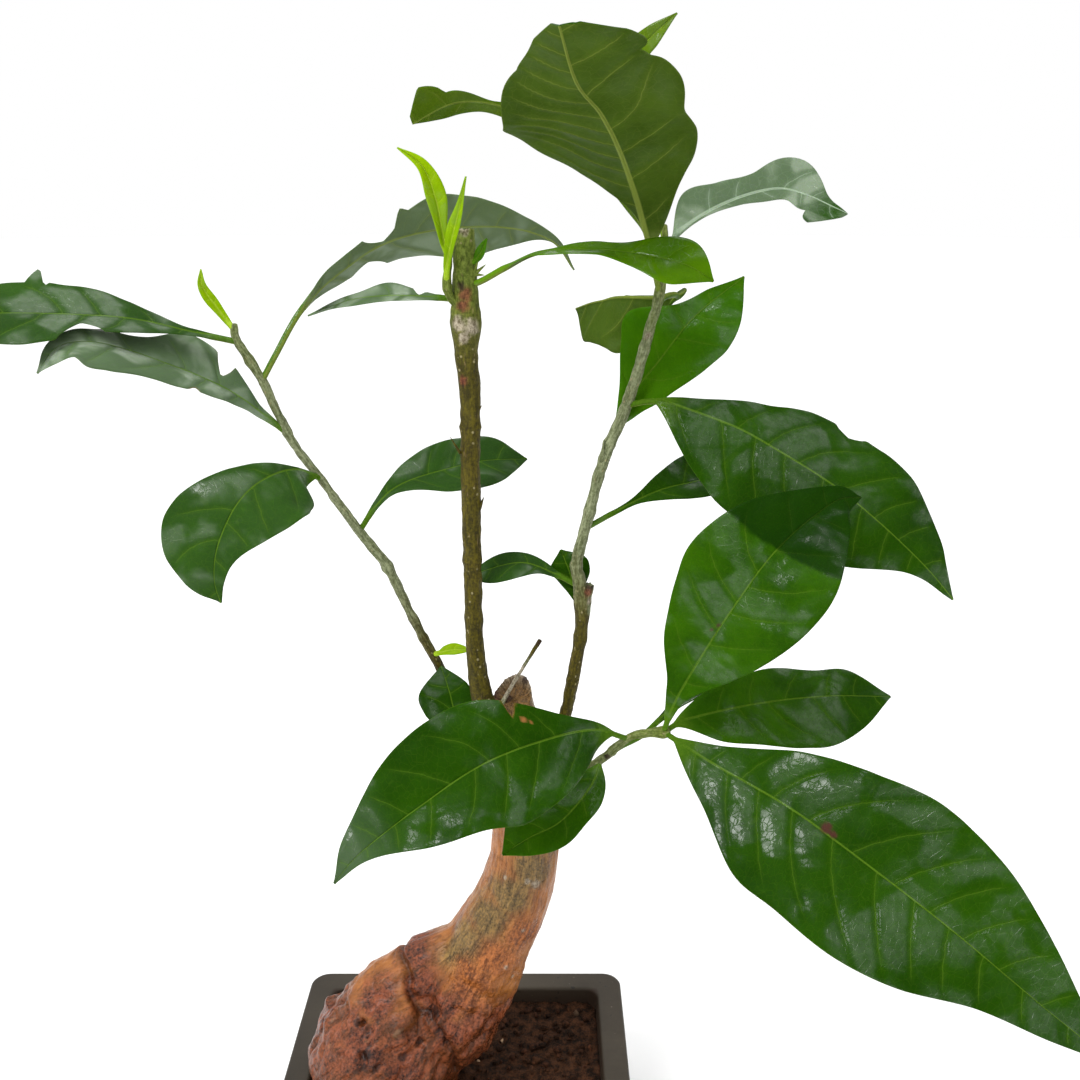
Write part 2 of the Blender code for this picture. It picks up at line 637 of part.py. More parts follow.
def add_pot(material):
    rim_bottom = POT_HEIGHT - RIM_HEIGHT
    levels = [
        (0, pot_inset_at(0) + EDGE_ROUND, POT_CORNER),
        (EDGE_ROUND, pot_inset_at(0), POT_CORNER),
        (rim_bottom, RIM_OVERHANG, POT_CORNER),
        (rim_bottom + RIM_OVERHANG / 2, 0, POT_CORNER),
        (POT_HEIGHT - EDGE_ROUND, 0, POT_CORNER),
        (POT_HEIGHT, EDGE_ROUND, POT_CORNER),
        (POT_HEIGHT, RIM_WIDTH - EDGE_ROUND, INNER_CORNER),
        (POT_HEIGHT - EDGE_ROUND, RIM_WIDTH, INNER_CORNER),
        (POT_FLOOR, pot_inset_at(0) + POT_WALL, INNER_CORNER),
    ]
    pot = add_object("pot", *lofted_box(levels), material)
    for name, side in (("drain_left", -1), ("drain_right", 1)):
        add_boolean(pot, add_drain(name, side * DRAIN_OFFSET, material), "DIFFERENCE")
    apply_modifiers(pot)
    return pot


def add_drain(name, x, material):
    shape = bmesh.new()
    place = Matrix.Translation(Vector((x, 0, POT_FLOOR / 2)))
    bmesh.ops.create_cone(
        shape, cap_ends=True, segments=DRAIN_SIDES, radius1=DRAIN_RADIUS, radius2=DRAIN_RADIUS,
        depth=POT_FLOOR * 2, matrix=place,
    )
    mesh = bpy.data.meshes.new(name)
    shape.to_mesh(mesh)
    shape.free()
    mesh.materials.append(material)
    obj = bpy.data.objects.new(name, mesh)
    bpy.context.scene.collection.objects.link(obj)
    obj.hide_render = True
    obj.display_type = "WIRE"
    return obj


def add_soil(material, trunk_cutter):
    """The soil fills the pot's inside, with a plain hole for the trunk."""
    floor_inset = pot_inset_at(0) + POT_WALL
    depth = POT_HEIGHT - EDGE_ROUND - POT_FLOOR
    slope = (floor_inset - RIM_WIDTH) / depth
    bottom = POT_FLOOR + SEAT_GAP
    levels = [
        (bottom, floor_inset + SEAT_GAP, INNER_CORNER),
        (SOIL_TOP, floor_inset + SEAT_GAP - slope * (SOIL_TOP - bottom), INNER_CORNER),
    ]
    soil = add_object("soil", *lofted_box(levels), material)
    add_boolean(soil, trunk_cutter, "DIFFERENCE")
    return soil


def add_trunk(name, material, grow=0.0):
    """The trunk and its swollen foot, grown together, with the slanting cut at the top."""
    helper = grow > 0
    limbs = [add_object(limb.name + "_" + name, *tube(limb, grow), material, helper) for limb in TRUNK_LIMBS]
    trunk = limbs[0]
    for limb in limbs[1:]:
        add_boolean(trunk, limb, "UNION")
    cutter = add_slanting_cutter(name + "_cut", grow)
    add_boolean(trunk, cutter, "DIFFERENCE")
    apply_modifiers(trunk)
    for limb in limbs[1:] + [cutter]:
        bpy.data.objects.remove(limb, do_unlink=True)
    trunk.name = name
    trunk.data.shade_smooth()
    trunk.data.set_sharp_from_angle(angle=SHARP_ANGLE)
    return trunk


def add_slanting_cutter(name, grow):
    """A block whose underside is the slanting plane of the old pruning cut."""
    facing = Vector(CUT_FACING).normalized()
    middle = Vector(CUT_PLACE) + facing * grow * MM
    turn = Vector((0, 0, 1)).rotation_difference(facing).to_matrix().to_4x4()
    shape = bmesh.new()
    bmesh.ops.create_cube(shape, size=CUT_BLOCK)
    bmesh.ops.translate(shape, verts=shape.verts, vec=(0, 0, CUT_BLOCK / 2))
    bmesh.ops.transform(shape, matrix=Matrix.Translation(middle) @ turn, verts=shape.verts)
    mesh = bpy.data.meshes.new(name)
    shape.to_mesh(mesh)
    shape.free()
    obj = bpy.data.objects.new(name, mesh)
    bpy.context.scene.collection.objects.link(obj)
    obj.hide_render = True
    obj.display_type = "WIRE"
    return obj


def fuse_stub(stem, material):
    """Joins the stub of the pruned old stem to the shoot that took over from it."""
    stub = add_object(PRUNED_STUB.name, *tube(PRUNED_STUB), material, helper=True)
    add_boolean(stem, stub, "UNION")
    apply_modifiers(stem)
    bpy.data.objects.remove(stub, do_unlink=True)


def main():
    clear_scene()
    materials = {
        "pot": make_material("pot_taupe", (0.075, 0.065, 0.055), 0.55),
        "soil": make_material("soil_brown", (0.035, 0.018, 0.010), 0.95),
        "trunk": make_material("trunk_bark", (0.30, 0.12, 0.05), 0.7),
        "stem": make_material("stem_bark", (0.16, 0.15, 0.08), 0.65),
        "leaf_green": make_material("leaf_green", (0.020, 0.095, 0.008), 0.3),
        "leaf_lime": make_material("leaf_lime", (0.20, 0.45, 0.02), 0.35),
    }
    add_trunk("trunk", materials["trunk"])
    cutters = {"trunk": add_trunk("trunk_cutter", materials["trunk"], SEAT_DEPTH)}
    add_pot(materials["pot"])
    add_soil(materials["soil"], cutters["trunk"])
    for stem in STEMS:
        obj = add_object(stem.name, *tube(stem), materials["stem"])
        if stem.name == "stem_right":
            fuse_stub(obj, materials["stem"])
        holder = "stem_centre" if stem.name == "bud_shoot" else "trunk"
        add_boolean(obj, cutters[holder], "DIFFERENCE")
        cutters[stem.name] = add_object(
            stem.name + "_cutter", *tube(stem, SEAT_DEPTH), materials["stem"], helper=True
        )
    for leaf in map(rooted, LEAVES):
        obj = add_object(leaf.name, *leaf_solid(leaf), materials[leaf.colour])
        add_boolean(obj, cutters[leaf.stem], "DIFFERENCE")


main()
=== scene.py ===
"""The potted baobab bonsai as it looks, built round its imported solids: leaves with veins and wet sheen,
fibrous bark on the stems, a knotty trunk, lumpy soil and a matte pot, in soft light on a pale floor.

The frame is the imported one: the origin is the centre of the pot's underside, -Y is the front and +Z is up.
Points are listed in millimetres and turned into metres when a mesh is made.
"""

import math
from typing import NamedTuple

import bmesh
import bpy
import numpy as np
from mathutils import Matrix, Vector, noise


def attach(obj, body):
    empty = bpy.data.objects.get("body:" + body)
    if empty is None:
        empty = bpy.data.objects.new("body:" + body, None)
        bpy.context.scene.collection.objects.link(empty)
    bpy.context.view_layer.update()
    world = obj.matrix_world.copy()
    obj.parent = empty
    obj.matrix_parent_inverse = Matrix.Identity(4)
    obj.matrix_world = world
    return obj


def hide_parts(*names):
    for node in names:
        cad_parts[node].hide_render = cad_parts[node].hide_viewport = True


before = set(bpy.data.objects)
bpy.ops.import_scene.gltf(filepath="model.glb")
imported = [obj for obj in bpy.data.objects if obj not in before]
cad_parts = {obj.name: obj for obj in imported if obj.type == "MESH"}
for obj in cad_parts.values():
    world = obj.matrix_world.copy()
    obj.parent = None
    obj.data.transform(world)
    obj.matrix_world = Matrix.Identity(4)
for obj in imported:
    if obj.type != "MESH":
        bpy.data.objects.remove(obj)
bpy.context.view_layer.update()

MM = 0.001
SEED = 11

# Camera: its place, focal length and sensor in millimetres, its tilt below the horizon, and the least
# distance that it sees, in metres
CAMERA_PLACE = (36, -384, 419)
CAMERA_TILT = math.radians(17.7)
CAMERA_LENS = 36
CAMERA_SENSOR = 36
CAMERA_NEAREST = 0.01

# Pot and soil, in millimetres, as in the solids
POT_WIDTH = 150
POT_DEPTH = 115
POT_HEIGHT = 55
POT_BASE_INSET = 11
POT_CORNER = 8
INNER_CORNER = 6
RIM_WIDTH = 11.5
RIM_HEIGHT = 8
RIM_OVERHANG = 3.5
POT_WALL = 6
POT_FLOOR = 7
POT_ROUND = 1.6
ROUND_STEPS = 5
POT_CORNER_STEPS = 12
DRAIN_RADIUS = 6
DRAIN_OFFSET = 34
DRAIN_SIDES = 40
POT_SHARP_ANGLE = math.radians(40)
RIM_STEP = 1
RIM_RECESS = 0.2
RIM_UNDER_TURN = -75
INNER_STEP = 5
INNER_LEAN = 0.4
FLOOR_CHAMFER = 1
FLOOR_LEAN = 0.1

# The soil's level with its swells as (size, octaves, height), its fine grain, its heap and its crumbs
SOIL_TOP = 48
SOIL_GAP = 0.3
SOIL_STEP = 0.9
SOIL_SINK = 1.2
SOIL_SWELLS = ((19, 2, 1.6), (5, 3, 1.2))
SOIL_GRAIN = (1.9, 2, 1.1)
SOIL_BELOW_RIM = 2
HEAP_PLACE = (-22, -4)
HEAP_REACH = 38
HEAP_HEIGHT = 2.4
CRUMBS = 520
CRUMB_MARGIN = 3
CRUMB_SIZES = (0.7, 2.1)
CRUMB_STRETCH = (0.55, 1.1)
CRUMB_BUMPS = 0.45
CRUMB_BUMP_SIZE = 1.1
CRUMB_LIFT = 0.3
CRUMB_NOISE_SPAN = 50

# The slanting plane of the trunk's old pruning cut: a point on it, the way it faces and the cutter's size
CUT_PLACE = (26, 0, 231.5)
CUT_FACING = (-0.5, -0.7, 1.0)
CUT_BLOCK = 60

# Leaves, in millimetres, with spans as shares of the blade's or the stalk's length
LEAF_STEP = 0.95
COLUMN_CROWDING = 1.35
LEAF_THICKNESS = 0.5
STALK_RADIUS = 1.0
TIP_HALF_WIDTH = 0.25
EDGE_HALF_THICKNESS = 0.1
FLATTEN_SPAN = 0.1
FOLD_SPAN = 0.2
BITE_POWER = 0.6
LEAST_COLUMNS = 5
FULL_HALF_WIDTH = 22
SIDE_WAVE_SHIFT = 0.25

# Side veins: how they are set out, and the swellings between them, in millimetres and shares of the blade.
# Their unevenness starts at another part of a turn on each leaf, by the letters of its name.
FEWEST_VEINS = 4
VEIN_SPACING = 14.5
VEIN_SLANT = 0.4
VEIN_BEND = 0.42
VEIN_OFFSET = 0.42
VEIN_UNEVEN = 0.14
UNEVEN_TURNS = 2.3
LETTERS_PER_TURN = 7
VEIN_GAPS = (0.5, 40)
LEAST_STEP = 0.02
QUILT_HEIGHT = 0.75
QUILT_POWER = 0.7
QUILT_LEVEL = 0.5
QUILT_START = (0.3, 5)
QUILT_END = (0.72, 0.98)
FIRST_QUILT = (0, 0.6)
RIPPLE_HEIGHT = 0.9
RIPPLE_SIZE = 16
RIPPLE_AT_RIB = 0.25

# The midrib: a groove above and a keel below, with their heights and half widths, and how much they taper
RIB_GROOVE = 0.168
GROOVE_HALF = 0.7
RIB_KEEL = 0.75
KEEL_HALF = 1.1
RIB_TAPER = 0.8
EDGE_POWER = 8

# Millimetres, and veins, to one unit of the leaves' map layers
BLADE_UNIT = 100.0
VEIN_UNIT = 10.0

# Where a chewed edge and a blemish fade out
CHEWED_REACH = (0.9, 1.4)
CHEWED_RIM = (0.92, 0.99)
MARK_EDGE = (0.55, 1.05)
MARK_ROUGHNESS = 0.35

# How much patterns are stretched along the grain of the bark
ALONG_GRAIN = (1, 1, 0.3)

# Stems, in millimetres: ridges and lumps of the bark, and (share of the radius, push) of the rings at an
# end, with the push in millimetres at a radius of PUSH_RADIUS
STEM_SIDES = 30
STEM_RING = 0.9
RIDGE_SIZE = 1.3
RIDGE_HEIGHT = 0.09
LUMP_SIZE = 5
LUMP_HEIGHT = 0.24
THICK_STEM = 1.6
GRAIN_RADIUS = 4
RAGGED_END = ((0.8, -0.7), (0.55, -1.3), (0.25, -1.5))
ROUND_END = ((0.75, 0.3), (0.4, 0.5))
PUSH_RADIUS = 3
STUB_SHARE = 0.42
TORN_SIZE = 1.6
TORN_HEIGHT = 1.1
TORN_RINGS = (0.4, 1.0, 0.8, 0.3)

# Spikes: a direction that none has, which sets their sides out, and (share of the length, of the radius)
SPIKE_SIDES = 10
SPIKE_ASLANT = (0.3, 0.5, 0.8)
SPIKE_PROFILE = ((-0.2, 1.1), (0.1, 1.0), (0.4, 0.75), (0.7, 0.45), (0.93, 0.2), (1.0, 0.06))

# Trunk, in millimetres. A swell is (size, octaves, height on the stem, height that the foot adds), and a
# pit's rim is (height, place, width) with the last two as shares of the pit's radius.
VOXEL = 0.75
TRUNK_SIDES = 48
TRUNK_RING = 2.5
TRUNK_GRAIN_RADIUS = 15
GRAIN_STEP = 2
JOIN_SMOOTHING = 12
CUT_SMOOTHING = 2
FOOT_TOP = (98, 128)
SWELLS = ((24, 3, 0.6, 1.6), (8, 2, 0.3, 1.1))
FIBRE_SIZE = 2.4
FIBRE_HEIGHT = 0.42
FIBRE_STRETCH = (1, 1, 0.16)
FOLD_SIZE = 11
FOLD_DEPTH = 0.7
FOLD_NARROWING = 2.5
FOLD_STRETCH = (1, 1, 0.55)
WANDER_SIZE = 4
WANDER_HEIGHT = 0.5
PIT_STEEPNESS = 1.4
PIT_RIM = (0.5, 1.3, 0.4)
CUT_EDGE = (0.4, 1.1)
INNER_CUT = 0.5
CUT_FLATNESS = 0.8
BOWL_EDGE = (0.6, 1.0)
BOWL_PERCENT = 92
BOWL_DEPTH = 3.6
BOWL_FIBRES = 1.6

# Colours of the trunk: how ragged the zones' edges are, how far up the foot is dark red, how dark the shade
# painted into creases and pits is, and how strongly the hollow and the rest of the cut take the colours of
# blemishes
ZONE_EDGE = (0.2, 1.5)
ZONE_PATCHES = 7
ZONE_ROUGHNESS = 0.3
FOOT_RED = 0.8
FOOT_RED_TOP = (90, 112)
FOOT_RED_WANDER = 20
SUNK_EDGE = (0.8, 3.2)
SUNK_PAINTED_SHADE = 0.85
BOWL_RED = 0.25
CUT_PALE = 0.8

# Points from one given point of a curve to the next
CURVE_STEPS = 16

# The floor and the sky, and the lamps with their place, target and size in metres and their watts
FLOOR_RADIUS = 12.0
FLOOR_SIDES = 96
FLOOR_DROP = 0.0002
SKY_LOW = 0.45
SKY_HIGH = 1.7
LAMPS = {
    "key_softbox": ((-0.6, -0.7, 1.5), (0, 0, 0.25), (0.6, 0.6), 14),
    "side_softbox": ((-1.0, -1.1, 0.6), (0.05, 0, 0.28), (0.22, 0.36), 2.5),
}

# Leaf finish: relief in millimetres, and where its lines and troughs fade out, in millimetres from their
# middle, shares of the blade's half width or shares of the way between two veins
LEAF_RELIEF = 0.2
LEAF_SPECULAR = 0.025
FILM_ROUGHNESS = 0.12
VEIN_WANDER = 0.09
VEIN_LINE = (0.04, 0.3)
VEIN_TROUGH = (0.2, 1.6)
RIB_TROUGH = (0.3, 1.7)
RIB_CORE = 0.55
RIB_NARROWING = 0.72
NET_LINE = (0.0, 0.055)
NET_SCALE = 34.0
NET_STRETCH = (1.0, 1.4, 1.0)
FILM_STRETCH = (1.0, 1.0, 1.25)
LEAF_GLOW = (0.4, 1.0, 0.1)
VEIN_END = (0.6, 0.95)
FIRST_VEIN = (0.3, 0.6)
BULGE = (0.05, 0.26)
PALE_RIM = (0.982, 0.996)
# Where the sheen painted on a leaf's tip starts and where it is full, as shares of the blade's length
TIP_START = (0.72, 0.95)

# Pot and soil finish, in millimetres: where the pot's darker inside and its painted left shade fade out, and
# their relief
POT_INSIDE_EDGE = 1
POT_PAINTED_SHADE_SPAN = (-78, -45)
SCUFF_STRETCH = (0.35, 1.0, 1.0)
POT_RELIEF = 0.09
SOIL_RELIEF = 1.1


def srgb(red, green, blue):
    """A screen colour, 0 to 255, as the shader's colour."""
    return tuple(((value / 255 + 0.055) / 1.055) ** 2.4 if value > 10 else value / 255 / 12.92
                 for value in (red, green, blue))


# Colours of the finishes, in pairs where a pattern goes from a dark one to a light one
PALE_FLECK = srgb(205, 214, 190)
# Grey of the sheen painted on leaves
PAINTED_SHEEN_GREY = srgb(112, 128, 104)
SHADED_GREEN = srgb(6, 34, 0)
DRY_DARK = srgb(92, 50, 24)
DRY_LIGHT = srgb(165, 118, 66)
ROT_BROWN = srgb(70, 38, 34)
# Pale tan of glints painted on bark
PAINTED_BARK_GLINT = srgb(220, 180, 138)
BARK_CRACK = srgb(40, 24, 16)
WART_PALE = srgb(150, 140, 100)
WOUND_RED = (srgb(76, 34, 24), srgb(132, 76, 54))
SCAR_PALE = (srgb(92, 78, 60), srgb(190, 178, 160))
# Dark of spots on the bark, and of the shade painted into the trunk's creases and pits
DARK_SPOT_AND_PAINTED_SHADE = (srgb(24, 14, 10), srgb(58, 34, 26))
SOIL_GROUND = (srgb(20, 11, 5), srgb(78, 49, 31))
CRUMB_DARK = srgb(30, 17, 11)
CRUMB_LIGHT = (srgb(48, 28, 16), srgb(96, 58, 38))
STONE_PALE = srgb(170, 140, 112)
POT_TAUPE = (srgb(48, 42, 33), srgb(62, 55, 44))
POT_SCUFF = srgb(84, 75, 63)
POT_INSIDE = srgb(48, 35, 26)
# Shade painted on the pot's left side
POT_SHADE = srgb(30, 28, 25)
POT_DAMP = srgb(34, 31, 27)
POT_DUST = srgb(150, 138, 120)
FLOOR_WHITE = (0.93, 0.93, 0.93)


class Leaf(NamedTuple):
    """One leaf. Lengths are in millimetres.

    path runs along the midrib, from inside the stem to the tip. The first stalk millimetres are the stalk.
    left and right are the blade's half widths at even steps from its foot to its tip, seen from its upper
    side with the tip ahead. faces are the directions of the upper side, evenly spaced along the leaf, or
    the one that holds all along it.
    fold lifts both halves from the midrib, in degrees.
    wave is the height, the count and the start, in turns, of the ripples along the edge.
    bites are (side, place along the blade, half length along it, depth), with side -1 for left. A bite of
    negative depth is a lobe. pleats are how many times denser the side veins are on the left and the right.
    """

    name: str
    stem: str
    path: tuple
    stalk: float
    left: tuple
    right: tuple
    faces: tuple
    fold: float = 12
    wave: tuple = (0, 2, 0)
    bites: tuple = ()
    colour: str = "leaf_green"
    pleats: tuple = (1, 1)


class Stem(NamedTuple):
    """One stem: points along its middle and the radius at each, in millimetres."""

    name: str
    path: tuple
    radii: tuple


TRUNK_LIMBS = (
    Stem(
        "trunk_main",
        ((-24, 2, 24), (-20, 2, 50), (-9, 1, 70), (-1, 0, 84), (7.5, 0, 103), (15.5, 0, 121), (24, 0, 139),
         (28.5, 0, 155), (30, 0, 172), (30, 0, 192), (27, 0, 212), (24.5, 1, 228), (24.5, 2, 246)),
        (15, 17, 19, 21, 19.5, 17.3, 15.6, 14.6, 13.5, 13.5, 11.8, 9, 7),
    ),
    Stem(
        "caudex_left",
        ((-35, -7, 24), (-36, -8, 48), (-36, -6, 68), (-28, -4, 88), (-18, 0, 101), (-2, 0, 111),
         (7, 0, 117)),
        (18, 25.5, 27, 20, 14.5, 12.5, 11),
    ),
    Stem("caudex_knob", ((-50, 4, 60), (-52, 4, 72), (-50, 4, 84)), (7, 11, 8)),
    Stem("caudex_front", ((-22, -16, 26), (-22, -17, 46), (-18, -14, 66), (-10, -7, 84)), (13, 16, 15, 9)),
)

STEMS = (
    Stem(
        "stem_left",
        ((16, 8, 206), (6.5, 11, 222), (-3.5, 12, 238), (-16.5, 9, 268), (-22.5, 8, 283), (-33, 6, 299),
         (-44.5, 4, 318), (-54.5, 2, 334), (-62.5, 0, 355), (-70, -2, 370), (-71, -2, 376)),
        (2.6, 2.3, 1.9, 1.8, 2.0, 1.7, 1.5, 1.5, 1.6, 1.5, 1.3),
    ),
    Stem(
        "stem_centre",
        ((22, -2, 204), (17, -1, 218), (13.2, 0, 233), (11, 0, 252), (10.6, 0, 289), (10.6, 0, 327),
         (11, 0, 349), (10, 0, 367), (10, 0, 377), (10, 0, 384), (10, 0, 408)),
        (6.5, 5.2, 4.2, 3.5, 3.4, 3.6, 3.7, 4.2, 5.3, 4.7, 3.6),
    ),
    Stem(
        "stem_right",
        ((34, 4, 196), (41, 6, 209), (46, 6, 221), (49, 5, 238), (52, 5, 258), (52, 5, 270), (51, 5, 279),
         (50, 5, 286), (55, 5, 308), (60, 4, 328), (68, 4, 348), (75, 3, 374), (78, 2, 388), (79, 2, 401),
         (79, 2, 409)),
        (3.4, 2.8, 2.5, 2.4, 2.6, 3.2, 2.5, 2.1, 2.1, 2.1, 2.1, 1.8, 1.8, 1.6, 0.8),
    ),
    Stem(
        "stem_front",
        ((36, -10, 188), (44, -17, 195), (50, -21, 203), (56, -24, 215), (61, -26, 221), (69, -29, 230),
         (75, -30, 232), (81, -31, 233), (83, -31.3, 233.4)),
        (2.2, 1.9, 1.7, 1.5, 1.6, 1.5, 1.5, 2.4, 1.8),
    ),
    Stem("dry_stalk", ((19, -2, 224), (22, -7, 234), (29, -10, 248), (36, -12, 261)), (1.0, 0.8, 0.6, 0.8)),
    Stem("bud_shoot", ((9, 0, 380), (5, -3, 386), (4, -4, 391), (5, -4, 399)), (1.6, 1.4, 1.5, 1.3)),
)

PRUNED_STUB = Stem("pruned_stub", ((53, 5, 264), (54, 5, 272), (55, 5, 277)), (2.2, 2.1, 1.7))

